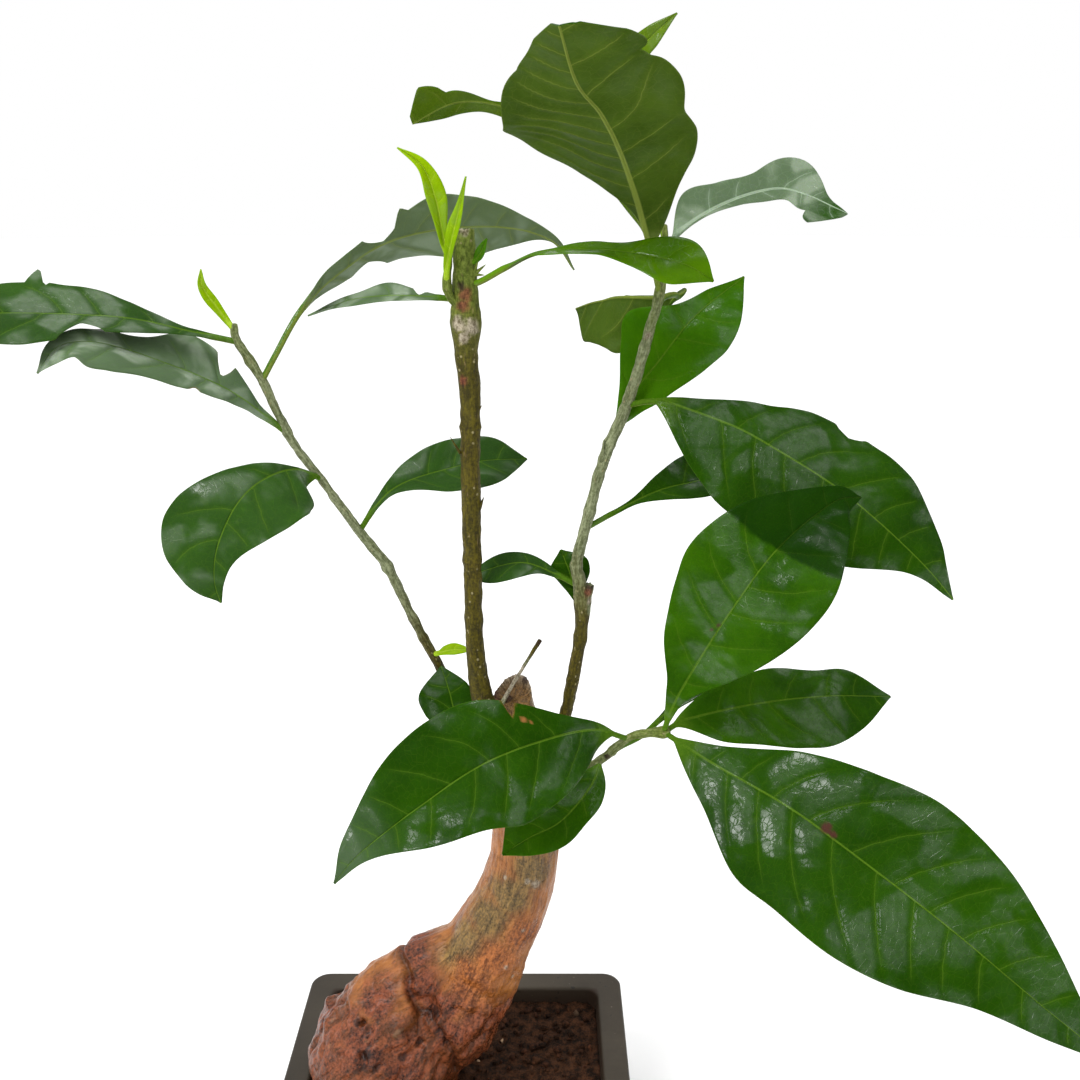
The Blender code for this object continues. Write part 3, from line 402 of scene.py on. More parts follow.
LEAVES = (
    Leaf(
        "leaf_left_far", "stem_left",
        ((-70, -2, 370), (-85, -6, 374), (-102, -12, 379), (-118, -18, 381), (-141, -25, 382),
         (-158, -30, 380)),
        6, (3, 7, 12, 16, 17.5, 14), (2, 6, 13, 14.5, 16, 14.5),
        ((0, -0.5, 0.87),), fold=5, wave=(1.5, 1.5, 0.3),
        bites=((-1, 0.51, 0.08, 8), (1, 0.675, 0.04, -6), (1, 0.65, 0.014, 5)),
    ),
    Leaf(
        "leaf_left_chewed", "stem_left",
        ((-55, 2, 337), (-73, -5, 353), (-94, -14, 365), (-110, -22, 372), (-121, -28, 372),
         (-127, -34, 364)),
        5, (4, 9, 12, 15, 20, 20), (4.5, 13, 17, 9, 7.5, 5.5),
        ((0, -0.5, 0.87), (-0.3, -0.5, 0.8)), fold=10, bites=((1, 0.278, 0.036, 8.5), (-1, 0.37, 0.02, 2)),
    ),
    Leaf(
        "leaf_left_tip", "stem_left",
        ((-71, -2, 374), (-76, -3, 382), (-80, -4, 389), (-80, -4, 395)),
        2, (1.6, 2.2, 1.5), (1.6, 2.0, 1.5),
        ((0.3, -0.9, 0.3),), colour="leaf_lime",
    ),
    Leaf(
        "leaf_left_twisted", "stem_left",
        ((-62, 0, 356), (-58, 2, 365), (-50, 8, 379), (-40, 14, 390), (-22, 22, 402), (-3, 27, 407),
         (21, 32, 408), (40, 36, 403), (49, 38, 392)),
        28, (10, 14, 17, 21, 20, 10, 1), (6, 6, 9, 15, 12, 6.5, 2.5),
        ((-0.3, 0.3, 0.8), (0, 0.8, 0.5)), fold=8, wave=(1.5, 2, 0),
        bites=((1, 0.34, 0.06, 7), (1, 0.405, 0.02, -4), (-1, 0.28, 0.06, 6)),
    ),
    Leaf(
        "leaf_left_drooping", "stem_left",
        ((-45, 4, 319), (-52, -6, 325), (-61, -17, 324), (-68, -27, 318), (-74, -33, 305), (-76, -34, 293),
         (-75, -33, 284)),
        3, (9, 18, 22, 24.5, 23, 18, 11.5, 6.5, 3.5), (0.8, 2.5, 7, 11, 15.5, 19.5, 20.5, 17.5, 10),
        ((-0.1, -0.8, 0.55), (-0.2, -0.95, 0.2)), fold=10,
    ),
    Leaf(
        "leaf_left_mid", "stem_left",
        ((-33, 5, 298), (-26, 9, 307), (-19, 13, 313), (-7, 18, 317), (13, 25, 320.5), (31, 29, 320.5)),
        6, (3, 8.5, 12.5, 12.5, 11.5), (2.5, 9, 16.5, 19, 15),
        ((0, -0.45, 0.9), (0.2, -0.45, 0.9)), fold=12,
    ),
    Leaf(
        "leaf_left_low", "stem_left",
        ((-7, 11, 244), (-3, 9, 247), (2, 9, 248), (9, 9, 248)),
        3, (2.4, 3, 2), (2, 2.8, 2),
        ((0, -0.5, 0.85),), colour="leaf_lime",
    ),
    Leaf(
        "leaf_trunk_round", "trunk",
        ((18, 3.6, 205), (14, 3.7, 208), (5, 4.5, 213.5), (2, 6, 222), (0, 6.8, 231), (-3, 7, 242)),
        8, (5.5, 12, 12), (6, 9, 8.5),
        ((-0.2, -0.95, 0.2),), fold=6,
    ),
    Leaf(
        "leaf_centre_left", "stem_centre",
        ((10, 0, 384), (-1, 2, 385), (-17, 7, 385), (-32, 12, 383), (-49, 18, 377)),
        8, (3, 4, 5, 2), (3, 6, 3, 2),
        ((0, -0.6, 0.8),), fold=12, bites=((1, 0.17, 0.04, 2),),
    ),
    Leaf(
        "leaf_bud_tall", "bud_shoot",
        ((5, -4, 398), (3, -4, 406), (1, -5, 418), (-3, -6, 428), (-11, -6, 434)),
        2, (2.5, 4, 2.2), (2.3, 4, 2.5),
        ((0.3, -0.9, 0.2),), fold=25, colour="leaf_lime",
    ),
    Leaf(
        "leaf_bud_short", "bud_shoot",
        ((4, -4, 391), (4.5, -7.5, 396), (6.5, -8.5, 405), (9, -8, 414), (11.5, -8, 425)),
        3, (1.8, 2.6, 1.2), (1.5, 2, 1.2),
        ((-0.3, -0.9, 0),), fold=20, colour="leaf_lime",
    ),
    Leaf(
        "leaf_centre_right", "stem_centre",
        ((10, 0, 389), (16, -3, 391), (25, -7, 396), (36, -12, 401), (52, -18, 402), (67, -24, 401),
         (82, -30, 398), (91, -33, 393)),
        16, (0.9, 2.5, 5, 5, 8.5, 9), (3.5, 6.5, 6.5, 8, 10.5, 11.5),
        ((0.1, -0.35, 0.94), (0.1, -0.4, 0.9), (0.3, -0.85, 0.45)), fold=10,
    ),
    Leaf(
        "leaf_centre_tiny", "stem_centre",
        ((10, 0, 395), (15, -3, 399), (18, -6, 405)),
        5, (2, 1.6), (2, 1.6),
        ((-0.3, -0.9, 0.2),), fold=25,
    ),
    Leaf(
        "leaf_top_large", "stem_right",
        ((78, 3, 386), (74, -5, 399), (68, -16, 416), (61, -32, 431), (54, -48, 441), (46, -61, 449),
         (41, -76, 461)),
        18, (8, 14, 21, 24, 23, 26, 22, 17), (1.2, 6.5, 17, 29.5, 32.5, 31.5, 24.5, 9.5),
        ((0.1, 0.55, 0.8), (0.1, 0.6, 0.8)), fold=8, wave=(2, 2, 0.4),
        bites=((-1, 0.95, 0.09, -9), (1, 0.94, 0.1, -4)), pleats=(1, 2),
    ),
    Leaf(
        "leaf_top_back", "stem_right",
        ((79, 2, 393), (71, 9, 411), (56, 14, 430), (39, 15, 442), (22, 13, 448.5), (7, 10, 449),
         (-7, 5, 442)),
        12, (5, 8, 10, 6, 1, 4.5), (4, 6, 7, 7, 5, 5.5),
        ((0, 0.5, 0.85), (0.2, 0.7, 0.6)), fold=6, bites=((-1, 0.94, 0.07, -7.5),),
    ),
    Leaf(
        "leaf_top_young", "stem_right",
        ((79, 2, 403), (77, 9, 417), (72, 13, 437), (69, 12, 453), (69, 10, 464), (73, 8, 469),
         (81, 6, 476)),
        9, (4, 5, 5, 4, 4), (3, 4, 5, 5, 4.5),
        ((-0.3, -0.9, 0.3),), fold=15, colour="leaf_lime",
    ),
    Leaf(
        "leaf_top_twisted", "stem_right",
        ((79, 2, 398), (84, 2, 407), (99, 5, 416), (116, 7, 421), (127, 4, 419), (139, -6, 413)),
        8, (11.5, 9, 7.5, 13.5, 4), (1.5, 3.5, 5.5, 6, 10),
        ((0, -0.5, 0.85), (0.3, -0.8, 0.5)), fold=10, bites=((1, 0.93, 0.08, -11),),
    ),
    Leaf(
        "leaf_right_back", "stem_right",
        ((77, 3, 380), (80, 10, 384), (85, 18, 384.5), (86.5, 26, 382.5), (78, 32, 382), (66.5, 40, 381.5),
         (60.5, 47, 379.5), (56, 53, 378), (50.5, 60, 375.5)),
        24, (12, 14, 10, 6, 4, 3), (10, 18, 22, 20, 17, 14.5),
        ((0.4, 0.4, -0.83),), fold=33,
    ),
    Leaf(
        "leaf_right_upright", "stem_right",
        ((62, 4, 334), (66, 7, 342), (70, 9, 350), (79, 11, 361), (92, 14, 377), (110, 18, 391)),
        5, (5, 14.5, 19.5, 7.5, 4), (8.5, 12, 16, 17.5, 13),
        ((-0.25, -0.95, 0.2),), fold=8,
    ),
    Leaf(
        "leaf_right_large", "stem_right",
        ((67, 4, 346), (79, -3, 349), (98, -10, 344), (114, -14, 337), (142, -20, 320), (168, -24, 298),
         (182, -27, 283)),
        12, (8.5, 16.5, 25.5, 28, 25, 16), (18, 27, 30, 27, 19, 6),
        ((0.1, -0.75, 0.65), (0.2, -0.85, 0.5)), fold=-12, wave=(2, 2.5, 0.2),
        bites=((-1, 0.52, 0.045, 3.5),),
    ),
    Leaf(
        "leaf_right_hidden", "stem_right",
        ((53, 5, 299), (69, 10, 307), (83, 15, 312), (97, 20, 314), (118, 28, 317)),
        10, (1.8, 7, 12.5, 13), (2, 7, 10.5, 9),
        ((0, -0.5, 0.85),), fold=10,
    ),
    Leaf(
        "leaf_right_round", "stem_right",
        ((52, 5, 265), (49, 10, 275), (47, 12, 281), (44, 14, 288)),
        4, (3, 5.5, 7), (4, 8, 8),
        ((-0.2, -0.9, 0.3),), fold=8,
    ),
    Leaf(
        "leaf_right_inner", "stem_right",
        ((51, 5, 276), (42, 8, 280), (28, 10, 284), (8, 12, 278)),
        8, (3, 8, 9.5, 7.5), (3, 4.5, 5.5, 4),
        ((0, -0.5, 0.85),), fold=10,
    ),
    Leaf(
        "leaf_front_left", "stem_front",
        ((68, -29, 229), (54, -37, 237), (34, -47, 237), (15, -56, 233), (-5, -66, 223), (-23, -75, 212),
         (-32, -78, 202)),
        8, (14, 22, 25, 20, 14, 5), (5.5, 14, 22, 22, 18.5, 10),
        ((0.1, -0.85, 0.55), (-0.4, -0.75, 0.5)), fold=10, wave=(1.5, 3, 0.3),
        bites=((1, 0.325, 0.016, 5.5),),
    ),
    Leaf(
        "leaf_front_low", "stem_front",
        ((58, -25, 219), (55, -28, 209), (44, -31, 196), (32, -33, 190), (22, -35, 184)),
        2, (7, 7.5, 8.5, 6.5), (10.5, 14.5, 15.5, 12),
        ((-0.1, -0.8, 0.6),), fold=10,
    ),
    Leaf(
        "leaf_front_up", "stem_front",
        ((81, -31, 233), (83, -36, 245), (88, -41, 260), (100, -46, 286), (114, -48, 309), (132, -43, 323),
         (142, -40, 324)),
        6, (5.5, 14.5, 20.5, 23.5, 19, 9.5), (4, 13.5, 21, 25, 24, 14.5),
        ((-0.35, -0.9, 0.25), (-0.3, -0.9, 0.3)), fold=10, wave=(1, 2.5, 0.5),
    ),
    Leaf(
        "leaf_front_right", "stem_front",
        ((81, -31, 233), (91, -28, 237), (117, -22, 240), (143, -14, 239), (171, -6, 235)),
        5, (9, 12.5, 14, 11.5, 11), (11, 15.5, 19, 19, 12.5),
        ((-0.1, -0.65, 0.75),), fold=-5,
    ),
    Leaf(
        "leaf_front_largest", "stem_front",
        ((81, -31, 233), (96, -48, 230), (120, -66, 223), (141, -82, 213), (165, -97, 199), (192, -111, 180),
         (213, -118, 165)),
        6, (8.5, 18.5, 25.5, 30, 27.5, 19.5, 9.5), (14, 29, 30.5, 30.5, 25, 14, 7),
        ((-0.2, -0.75, 0.6),), fold=8, wave=(1.5, 2.5, 0),
    ),
    Leaf(
        "leaf_front_behind", "stem_front",
        ((58, -25, 218), (66, -22, 222), (76, -18, 226), (89, -10, 236), (104, -4, 248), (115, 0, 258)),
        26, (1.5, 3, 4, 3), (3, 6, 8, 5),
        ((-0.4, -0.6, 0.7),), fold=10,
    ),
)

# The look of each leaf that is neither the usual deep green nor the usual young lime, some with painted
# sheen
LEAF_KINDS = {
    "leaf_right_upright": "fresh",
    "leaf_front_up": "mild",
    "leaf_front_right": "mild",
    "leaf_front_low": "mild",
    "leaf_centre_right": "bright",
    "leaf_centre_tiny": "fresh",
    "leaf_centre_left": "frosted",
    "leaf_top_twisted": "white_backed",
    "leaf_front_left": "pale_tipped",
    "leaf_left_twisted": "frosted",
    "leaf_left_far": "hazy",
    "leaf_left_chewed": "frosted",
    "leaf_left_drooping": "hazy",
    "leaf_left_mid": "hazy",
    "leaf_right_inner": "hazy",
    "leaf_top_large": "pale_ribbed",
    "leaf_top_back": "back_lit",
    "leaf_top_young": "dim_lime",
}
# The leaf that another one shades, the shade's lower edge as x values and heights, and how that edge fades
SHADED_LEAF = "leaf_front_up"
SHADED_ABOVE = ((97, 105, 117, 129, 138), (320.4, 313.2, 306.9, 302.6, 301.5))
SHADE_EDGE = (-0.4, 0.6)

# Leaves with a brown dry edge where they were chewed, and how brown it is
CHEWED = {"leaf_front_left": 0.55, "leaf_left_chewed": 0.3}

# Bark colours of the trunk: each kind has its channel of the zone colours, and its places with their reach
ZONE_CHANNELS = {"olive": 0, "orange": 1, "dark_red": 2}
TRUNK_ZONES = {
    "olive": (
        ((36, -9, 175), 13), ((34, -13, 163), 11), ((24, -14, 151), 11), ((14, -14, 140), 13),
        ((5, -14, 129), 12), ((0, -13, 122), 10), ((34, 12, 172), 15), ((22, 13, 150), 16),
        ((12, 15, 134), 14), ((2, 15, 120), 14), ((34, 2, 208), 10), ((26, 0, 228), 14),
    ),
    "orange": (
        ((30, -14, 132), 10), ((18, -18, 122), 11), ((8, -19, 112), 12), ((9, -20, 99), 11),
        ((14, -14, 88), 13), ((24, 6, 118), 14), ((12, 17, 98), 13),
    ),
    "dark_red": (
        ((-16, -2, 116), 12), ((-12, -12, 106), 11), ((-5, -18, 98), 12), ((-2, -19, 88), 13),
        ((-31, -15, 101), 12), ((-36, -24, 86), 16), ((-20, -28, 74), 18), ((-58, -2, 84), 18),
        ((-40, 14, 80), 20), ((-14, 18, 96), 16), ((8, 8, 66), 26),
    ),
}

# The trunk's creases, each points along it with its half width and depth, and its pits
CREASES = (
    (((-22, 4, 114), (-22, -3, 113), (-19.5, -9.5, 111), (-18, -14.5, 105), (-13.5, -16, 97),
      (-8, -18.5, 92), (-5.5, -20, 88), (-3, -20.6, 83), (0, -19, 74), (2, -16, 60)), 1.6, 2.3),
    (((-22, 4, 114), (-20, 12, 106), (-18, 18, 94), (-16, 20, 80), (-15, 21, 66)), 2.0, 2.6),
    (((-38, -16, 101), (-34.4, -15.5, 103.5), (-30, -15.3, 104.5), (-25, -16.5, 103.5)), 0.7, 0.8),
    (((-45, -16.5, 96), (-39, -20, 96.3), (-35, -23.6, 93.4), (-33, -27, 86)), 0.8, 0.8),
    (((-50, -10, 99), (-49, -6, 94), (-51, -8, 84), (-51, -10, 70)), 1.6, 2.4),
    (((-37, -28, 88), (-36.5, -29, 80), (-37, -30, 70)), 1.5, 1.6),
    (((14, -15, 84), (8, -19, 80), (4, -19.5, 76)), 1.2, 1.1),
)
PITS = (
    ((-38.5, -21.6, 95), 1.5, 3.0),
    ((-9, -16.6, 97), 4.2, 1.8),
    ((-14, -19, 83), 2.2, 0.9),
    ((-20, -23.8, 79.8), 2.4, 0.9),
    ((-30, -29, 79), 2.0, 1.0),
    ((-36.8, -27.9, 83.7), 1.6, 1.4),
    ((-44, -22, 80), 1.4, 1.0),
    ((20, 6, 160), 1.6, 0.8),
)

MARK_CHANNELS = {"dark": 0, "red": 1, "pale": 2}

# Small blemishes and, on the trunk, shade painted into its pits: for each piece and each kind, their places
# and sizes in millimetres
MARKS = {
    "trunk": {
        # dark on the trunk: shade painted into its pits, and two dark spots by the cut
        "dark": (
            ((-38.5, -21.6, 95), 2.2), ((-9, -16.6, 97), 2.6), ((-36.8, -28, 83.7), 3.2),
            ((-14, -19, 83), 2.6), ((-20, -23.8, 79.8), 2.8), ((-30.2, -29, 79), 2.4), ((21, -1, 237), 2.2),
            ((24.5, -1, 239.5), 2.0),
        ),
        "pale": (
            ((21.8, -13, 158.6), 1.0), ((34.4, -13.4, 156), 2.2), ((31, -13.5, 158), 1.4),
            ((29, -14, 134), 1.0), ((22, -17, 118), 1.2), ((24, -13, 112), 1.0),
        ),
        "red": (((18.6, 3.6, 232), 3.0),),
    },
    "stem_centre": {
        "dark": (((9, -4.5, 389.6), 1.8), ((8.4, -3.6, 355), 1.0), ((8, -3, 407.4), 1.2)),
        "red": (((10, -5, 386), 3.0), ((9, -5, 382.4), 2.6), ((8, -3.6, 356.5), 2.0)),
        "pale": (
            ((7.6, -4.5, 376.5), 3.2), ((12, -4.5, 375.5), 3.4), ((9.5, -4.5, 372), 2.4),
            ((10, -3.5, 408), 2.2),
        ),
    },
    "stem_right": {
        "dark": (((55, 2.5, 277), 2.0),),
        "red": (((54.5, 2.6, 274), 2.2),),
        "pale": (((55.5, 2.8, 270.5), 1.6), ((74, 1, 372), 1.6)),
    },
    "stem_front": {
        "dark": (((61, -27.5, 221), 1.6),),
    },
    "dry_stalk": {
        "dark": (((36, -12, 260), 2.2),),
        "pale": (((26, -9, 243), 12),),
    },
    "leaf_front_largest": {
        "dark": (((129.5, -75, 221), 2.2), ((131.5, -76, 219.6), 1.5)),
    },
    "leaf_front_left": {
        "red": (((31.5, -50, 248), 0.9), ((33.5, -50, 248), 0.9), ((36, -50, 247.6), 0.8)),
    },
    "leaf_front_up": {
        "dark": (((97, -44, 281), 1.2), ((94.5, -43.5, 279), 0.9)),
    },
}

# Shares of green, brown and grey in a stem's bark at even steps from its foot to its end
STEM_TINTS = {
    "stem_left": ((0.1, 1.0, 0.0), (0.2, 0.7, 0.3), (0.5, 0.1, 0.9), (0.6, 0.0, 0.8), (0.8, 0.0, 0.5)),
    "stem_centre": ((0.3, 1.0, 0.0), (0.4, 0.9, 0.0), (0.4, 0.8, 0.0), (0.4, 0.7, 0.2), (1.0, 0.1, 0.1)),
    "stem_right": ((0.4, 0.8, 0.0), (0.4, 0.8, 0.0), (0.4, 0.2, 0.9), (0.6, 0.1, 0.8), (1.0, 0.0, 0.3)),
    "stem_front": ((0.3, 0.4, 0.3), (0.6, 0.1, 0.5), (0.7, 0.1, 0.5), (1.0, 0.0, 0.3)),
    "dry_stalk": ((0.5, 0.2, 0.8), (0.5, 0.2, 0.8), (0.4, 0.3, 0.7), (0.0, 1.0, 0.0)),
    "bud_shoot": ((0.3, 0.8, 0.0), (1.0, 0.2, 0.0), (1.0, 0.0, 0.2), (1.0, 0.0, 0.2)),
}

# Rings and knuckles on the stems: the share of the stem's length, half length and height in millimetres
SWELLINGS = {
    "stem_left": (
        (0.28, 1.6, 0.35), (0.45, 1.5, 0.45), (0.63, 1.5, 0.35), (0.78, 1.4, 0.35), (0.93, 1.2, 0.3),
    ),
    "stem_centre": ((0.16, 2.0, 0.3), (0.42, 1.6, 0.35), (0.667, 1.0, 0.4), (0.84, 3.0, 0.5)),
    "stem_right": ((0.2, 1.6, 0.3), (0.42, 1.5, 0.4), (0.52, 1.4, 0.4), (0.64, 1.4, 0.4), (0.72, 1.2, 0.3)),
    "stem_front": ((0.25, 1.1, 0.25), (0.52, 1.2, 0.35), (0.66, 0.8, 0.25)),
    "bud_shoot": ((0.5, 1.0, 0.2),),
}

# Small thorns, buds and bracts on the stems: piece, foot, point and foot radius
SPIKES = (
    ("stem_centre", (6.6, -2, 331), (3.6, -3, 336.5), 0.5),
    ("stem_centre", (13.6, -1, 309), (15.4, -1.5, 313.5), 0.8),
    ("stem_centre", (13.6, -1, 345), (15.2, -1.5, 347.5), 0.6),
    ("stem_centre", (13.2, -2, 393), (17.5, -4, 396.5), 0.8),
    ("stem_centre", (13.2, -2, 393), (17, -4.5, 393), 0.7),
    ("stem_centre", (13.2, -2, 393), (15, -4.5, 398), 0.7),
    ("stem_centre", (8.5, -3.5, 388), (7.6, -4.8, 391.5), 1.1),
    ("stem_left", (-34, 5, 300), (-36, 3.5, 303), 0.8),
    ("stem_right", (58.8, 2.6, 327.5), (59.4, 1.9, 334.5), 0.9),
    ("stem_front", (60, -27, 220), (58.6, -29, 222.6), 0.8),
)


def bend_between(start, end, leave, arrive, part):
    """A smooth way from start to end that leaves and arrives with the given slopes."""
    square = 3 * (end - start) - 2 * leave - arrive
    cube = 2 * (start - end) + leave + arrive
    return start + leave * part + square * part**2 + cube * part**3


def smooth_curve(points):
    """A dense smooth curve through the points, as an array."""
    points = np.asarray(points, float)
    padded = np.vstack([2 * points[0] - points[1], points, 2 * points[-1] - points[-2]])
    steps = np.linspace(0, 1, CURVE_STEPS, endpoint=False)[:, None]
    pieces = []
    for before, start, end, after in zip(padded, padded[1:], padded[2:], padded[3:]):
        pieces.append(bend_between(start, end, (end - before) / 2, (after - start) / 2, steps))
    return np.vstack(pieces + [points[-1:]])


def sample_curve(points, values, fractions):
    """The curve's places, directions and values at the given fractions of its length, and that length."""
    curve = smooth_curve(points)
    lengths = np.concatenate([[0], np.cumsum(np.linalg.norm(np.diff(curve, axis=0), axis=1))])
    at = np.asarray(fractions) * lengths[-1]
    places = interpolate(at, lengths, curve)
    directions = interpolate(at, lengths, np.gradient(curve, lengths, axis=0))
    directions /= np.linalg.norm(directions, axis=1)[:, None]
    knots = lengths[::CURVE_STEPS]
    return places, directions, np.interp(at, knots, values), lengths[-1]


def interpolate(at, knots, values):
    """Three numbers at each of the given places, drawn straight between those at the knots."""
    return np.column_stack([np.interp(at, knots, values[:, axis]) for axis in range(3)])


def curve_length(points):
    return np.linalg.norm(np.diff(smooth_curve(points), axis=0), axis=1).sum()


def nearest_index(points, place):
    return np.argmin(np.linalg.norm(points - place, axis=1))


def nearest_point(points, place):
    return points[nearest_index(points, place)]


def rooted(leaf):
    """The leaf, its path moved to start on its stem's middle line. One on the trunk stays as it is."""
    for stem in STEMS:
        if stem.name == leaf.stem:
            nearest = nearest_point(smooth_curve(stem.path), leaf.path[0])
            return leaf._replace(path=(tuple(nearest), *leaf.path[1:]))
    return leaf


def ease(value, low, high):
    """A smooth step from 0 at low to 1 at high."""
    part = np.clip((value - low) / (high - low), 0, 1)
    return part * part * (3 - 2 * part)


def turbulence(points, size, octaves):
    """Fractal noise, about -1 to 1, at points in millimetres, with features of the given size."""
    places = (np.asarray(points) / size).reshape(-1, 3).tolist()
    values = [noise.fractal(place, 1.0, 2.0, octaves) for place in places]
    return np.array(values).reshape(np.shape(points)[:-1])


def frames_along(directions):
    """Two unit vectors across a curve at each of its places, turning as little as they can."""
    side = np.cross(directions[0], (0, 1, 0))
    sides = []
    for direction in directions:
        side = side - direction * side.dot(direction)
        side = side / np.linalg.norm(side)
        sides.append(side)
    sides = np.array(sides)
    return sides, np.cross(directions, sides)


def rings_across(directions, sides):
    """Unit vectors from a tube's middle to the points of its rings, and the angle of each of those."""
    side, other = frames_along(directions)
    angles = 2 * math.pi * np.arange(sides) / sides
    cosines, sines = np.cos(angles)[None, :, None], np.sin(angles)[None, :, None]
    return side[:, None] * cosines + other[:, None] * sines, angles


def numbered_from(first, faces):
    """The faces with their points numbered from first."""
    return [tuple(first + corner for corner in face) for face in faces]


def ring_faces(rings, sides):
    """Faces that join rings of points into a closed tube with flat ends."""
    faces = [tuple(range(sides))[::-1], tuple(range((rings - 1) * sides, rings * sides))]
    for ring in range(rings - 1):
        for index in range(sides):
            following = (index + 1) % sides
            low, high = ring * sides, (ring + 1) * sides
            faces.append((low + index, low + following, high + following, high + index))
    return faces


def link_object(name, data):
    obj = bpy.data.objects.new(name, data)
    bpy.context.scene.collection.objects.link(obj)
    return obj


def shape_object(name, shape):
    """An object with the shape as its mesh. The shape is used up."""
    mesh = bpy.data.meshes.new(name)
    shape.to_mesh(mesh)
    shape.free()
    return link_object(name, mesh)


def add_mesh(name, points, faces):
    """An object with this mesh, its points given in millimetres, facing outwards and shaded smooth."""
    mesh = bpy.data.meshes.new(name)
    mesh.from_pydata((np.asarray(points) * MM).tolist(), [], [tuple(face) for face in faces])
    shape = bmesh.new()
    shape.from_mesh(mesh)
    bmesh.ops.recalc_face_normals(shape, faces=shape.faces)
    if shape.calc_volume(signed=True) < 0:
        bmesh.ops.reverse_faces(shape, faces=shape.faces)
    shape.to_mesh(mesh)
    shape.free()
    mesh.shade_smooth()
    return link_object(name, mesh)


def finish_piece(obj, node, materials):
    """Puts the piece on the plant's body in place of its node, with its finish."""
    for material in materials:
        obj.data.materials.append(material)
    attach(obj, "root")
    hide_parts(node)


def set_vector(mesh, name, values, kind="FLOAT_VECTOR"):
    """Writes a value of three numbers for each point, as a vector or as a colour."""
    values = np.asarray(values, float)
    if kind == "FLOAT_COLOR":
        values = np.column_stack([values, np.ones(len(values))])
    attribute = mesh.attributes.new(name, kind, "POINT")
    attribute.data.foreach_set("color" if kind == "FLOAT_COLOR" else "vector", values.ravel())


def set_uv(mesh, name, values):
    """Writes a UV layer from two numbers for each point."""
    corners = np.empty(len(mesh.loops), int)
    mesh.loops.foreach_get("vertex_index", corners)
    layer = mesh.uv_layers.new(name=name)
    layer.data.foreach_set("uv", np.asarray(values, float)[corners].ravel())


def mesh_points(mesh):
    """The mesh's points in millimetres, and the way it faces at each."""
    points = np.empty(len(mesh.vertices) * 3)
    mesh.vertices.foreach_get("co", points)
    normals = np.empty(len(mesh.vertices) * 3)
    mesh.vertex_normals.foreach_get("vector", normals)
    return points.reshape(-1, 3) / MM, normals.reshape(-1, 3)


def mark_weights(piece, points):
    """How much of each kind of blemish, or of shade painted into the trunk's pits, there is at each point.
    """
    weights = np.zeros((len(points), 3))
    for kind, places in MARKS.get(piece, {}).items():
        channel = MARK_CHANNELS[kind]
        for place, size in places:
            distance = np.linalg.norm(points - nearest_point(points, place), axis=1)
            near = distance < 2 * size
            rough = np.zeros(len(points))
            rough[near] = MARK_ROUGHNESS * turbulence(points[near], size / 2, 2)
            weight = 1 - ease(distance / size + rough, *MARK_EDGE)
            weights[:, channel] = np.maximum(weights[:, channel], weight)
    return weights


def half_width(steps, along):
    """The blade's half width at each place along it, through even steps from its foot to its tip."""
    knots = np.linspace(0, 1, len(steps) + 2)
    widths = np.array([STALK_RADIUS, *steps, TIP_HALF_WIDTH])
    slopes = np.gradient(widths, knots)
    spot = np.clip(np.searchsorted(knots, along, "right") - 1, 0, len(knots) - 2)
    span = knots[1]
    part = (along - knots[spot]) / span
    leave, arrive = slopes[spot] * span, slopes[spot + 1] * span
    bent = bend_between(widths[spot], widths[spot + 1], leave, arrive, part)
    return np.maximum(bent, TIP_HALF_WIDTH)


def blade_halves(leaf, along):
    """The blade's half widths, and how near each place is to a bite, for its left and its right side."""
    halves, chewed = [], []
    for side, steps in ((-1, leaf.left), (1, leaf.right)):
        half = half_width(steps, along)
        near = np.zeros(len(along))
        browned = CHEWED.get(leaf.name, 0)
        for bite_side, place, half_length, depth in leaf.bites:
            if bite_side == side:
                away = np.abs(along - place) / half_length
                half = half - depth * np.clip(1 - away, 0, 1) ** BITE_POWER
                near = np.maximum(near, browned * (1 - ease(away, *CHEWED_REACH)))
        halves.append(np.maximum(half, TIP_HALF_WIDTH))
        chewed.append(near)
    return halves, chewed


def vein_pattern(leaf, along, sides, across, blade_length):
    """A number that is whole on each side vein. The veins leave the midrib aslant and bend to the tip."""
    wide = max(*leaf.left, *leaf.right) / blade_length
    count = max(FEWEST_VEINS, round(blade_length / VEIN_SPACING)) * np.where(sides < 0, *leaf.pleats)
    out = np.abs(across) / blade_length
    slant = VEIN_SLANT * out + VEIN_BEND * out**2 / wide
    own_start = len(leaf.name) / LETTERS_PER_TURN
    uneven = VEIN_UNEVEN * np.sin(2 * math.pi * (UNEVEN_TURNS * along + own_start))
    shift = np.where(sides > 0, VEIN_OFFSET, 0.0) + uneven
    return count * (along - slant) + shift


class Sheet(NamedTuple):
    """A leaf's middle surface: its points in rows from the stalk to the tip, and what holds at each.

    sides runs from -1 at the left edge to 1 at the right one, and along from 0 at the blade's foot to 1 at
    its tip. across and distance are millimetres from the midrib and from the stalk's start. veins is whole
    on each side vein, blade 0 on the stalk and 1 on the blade, and chewed how brown the edge is.
    """

    grid: np.ndarray
    sides: np.ndarray
    along: np.ndarray
    across: np.ndarray
    distance: np.ndarray
    veins: np.ndarray
    blade: np.ndarray
    chewed: np.ndarray


def leaf_frame(leaf, spots, along):
    """Places on the midrib, with the directions to the right and to the upper side at each."""
    places, directions, _, _ = sample_curve(leaf.path, np.zeros(len(leaf.path)), spots)
    faces = np.asarray(leaf.faces, float)
    uppers = interpolate(along, np.linspace(0, 1, len(faces)), faces)
    uppers -= directions * (uppers * directions).sum(axis=1)[:, None]
    uppers /= np.linalg.norm(uppers, axis=1)[:, None]
    return places, np.cross(directions, uppers), uppers


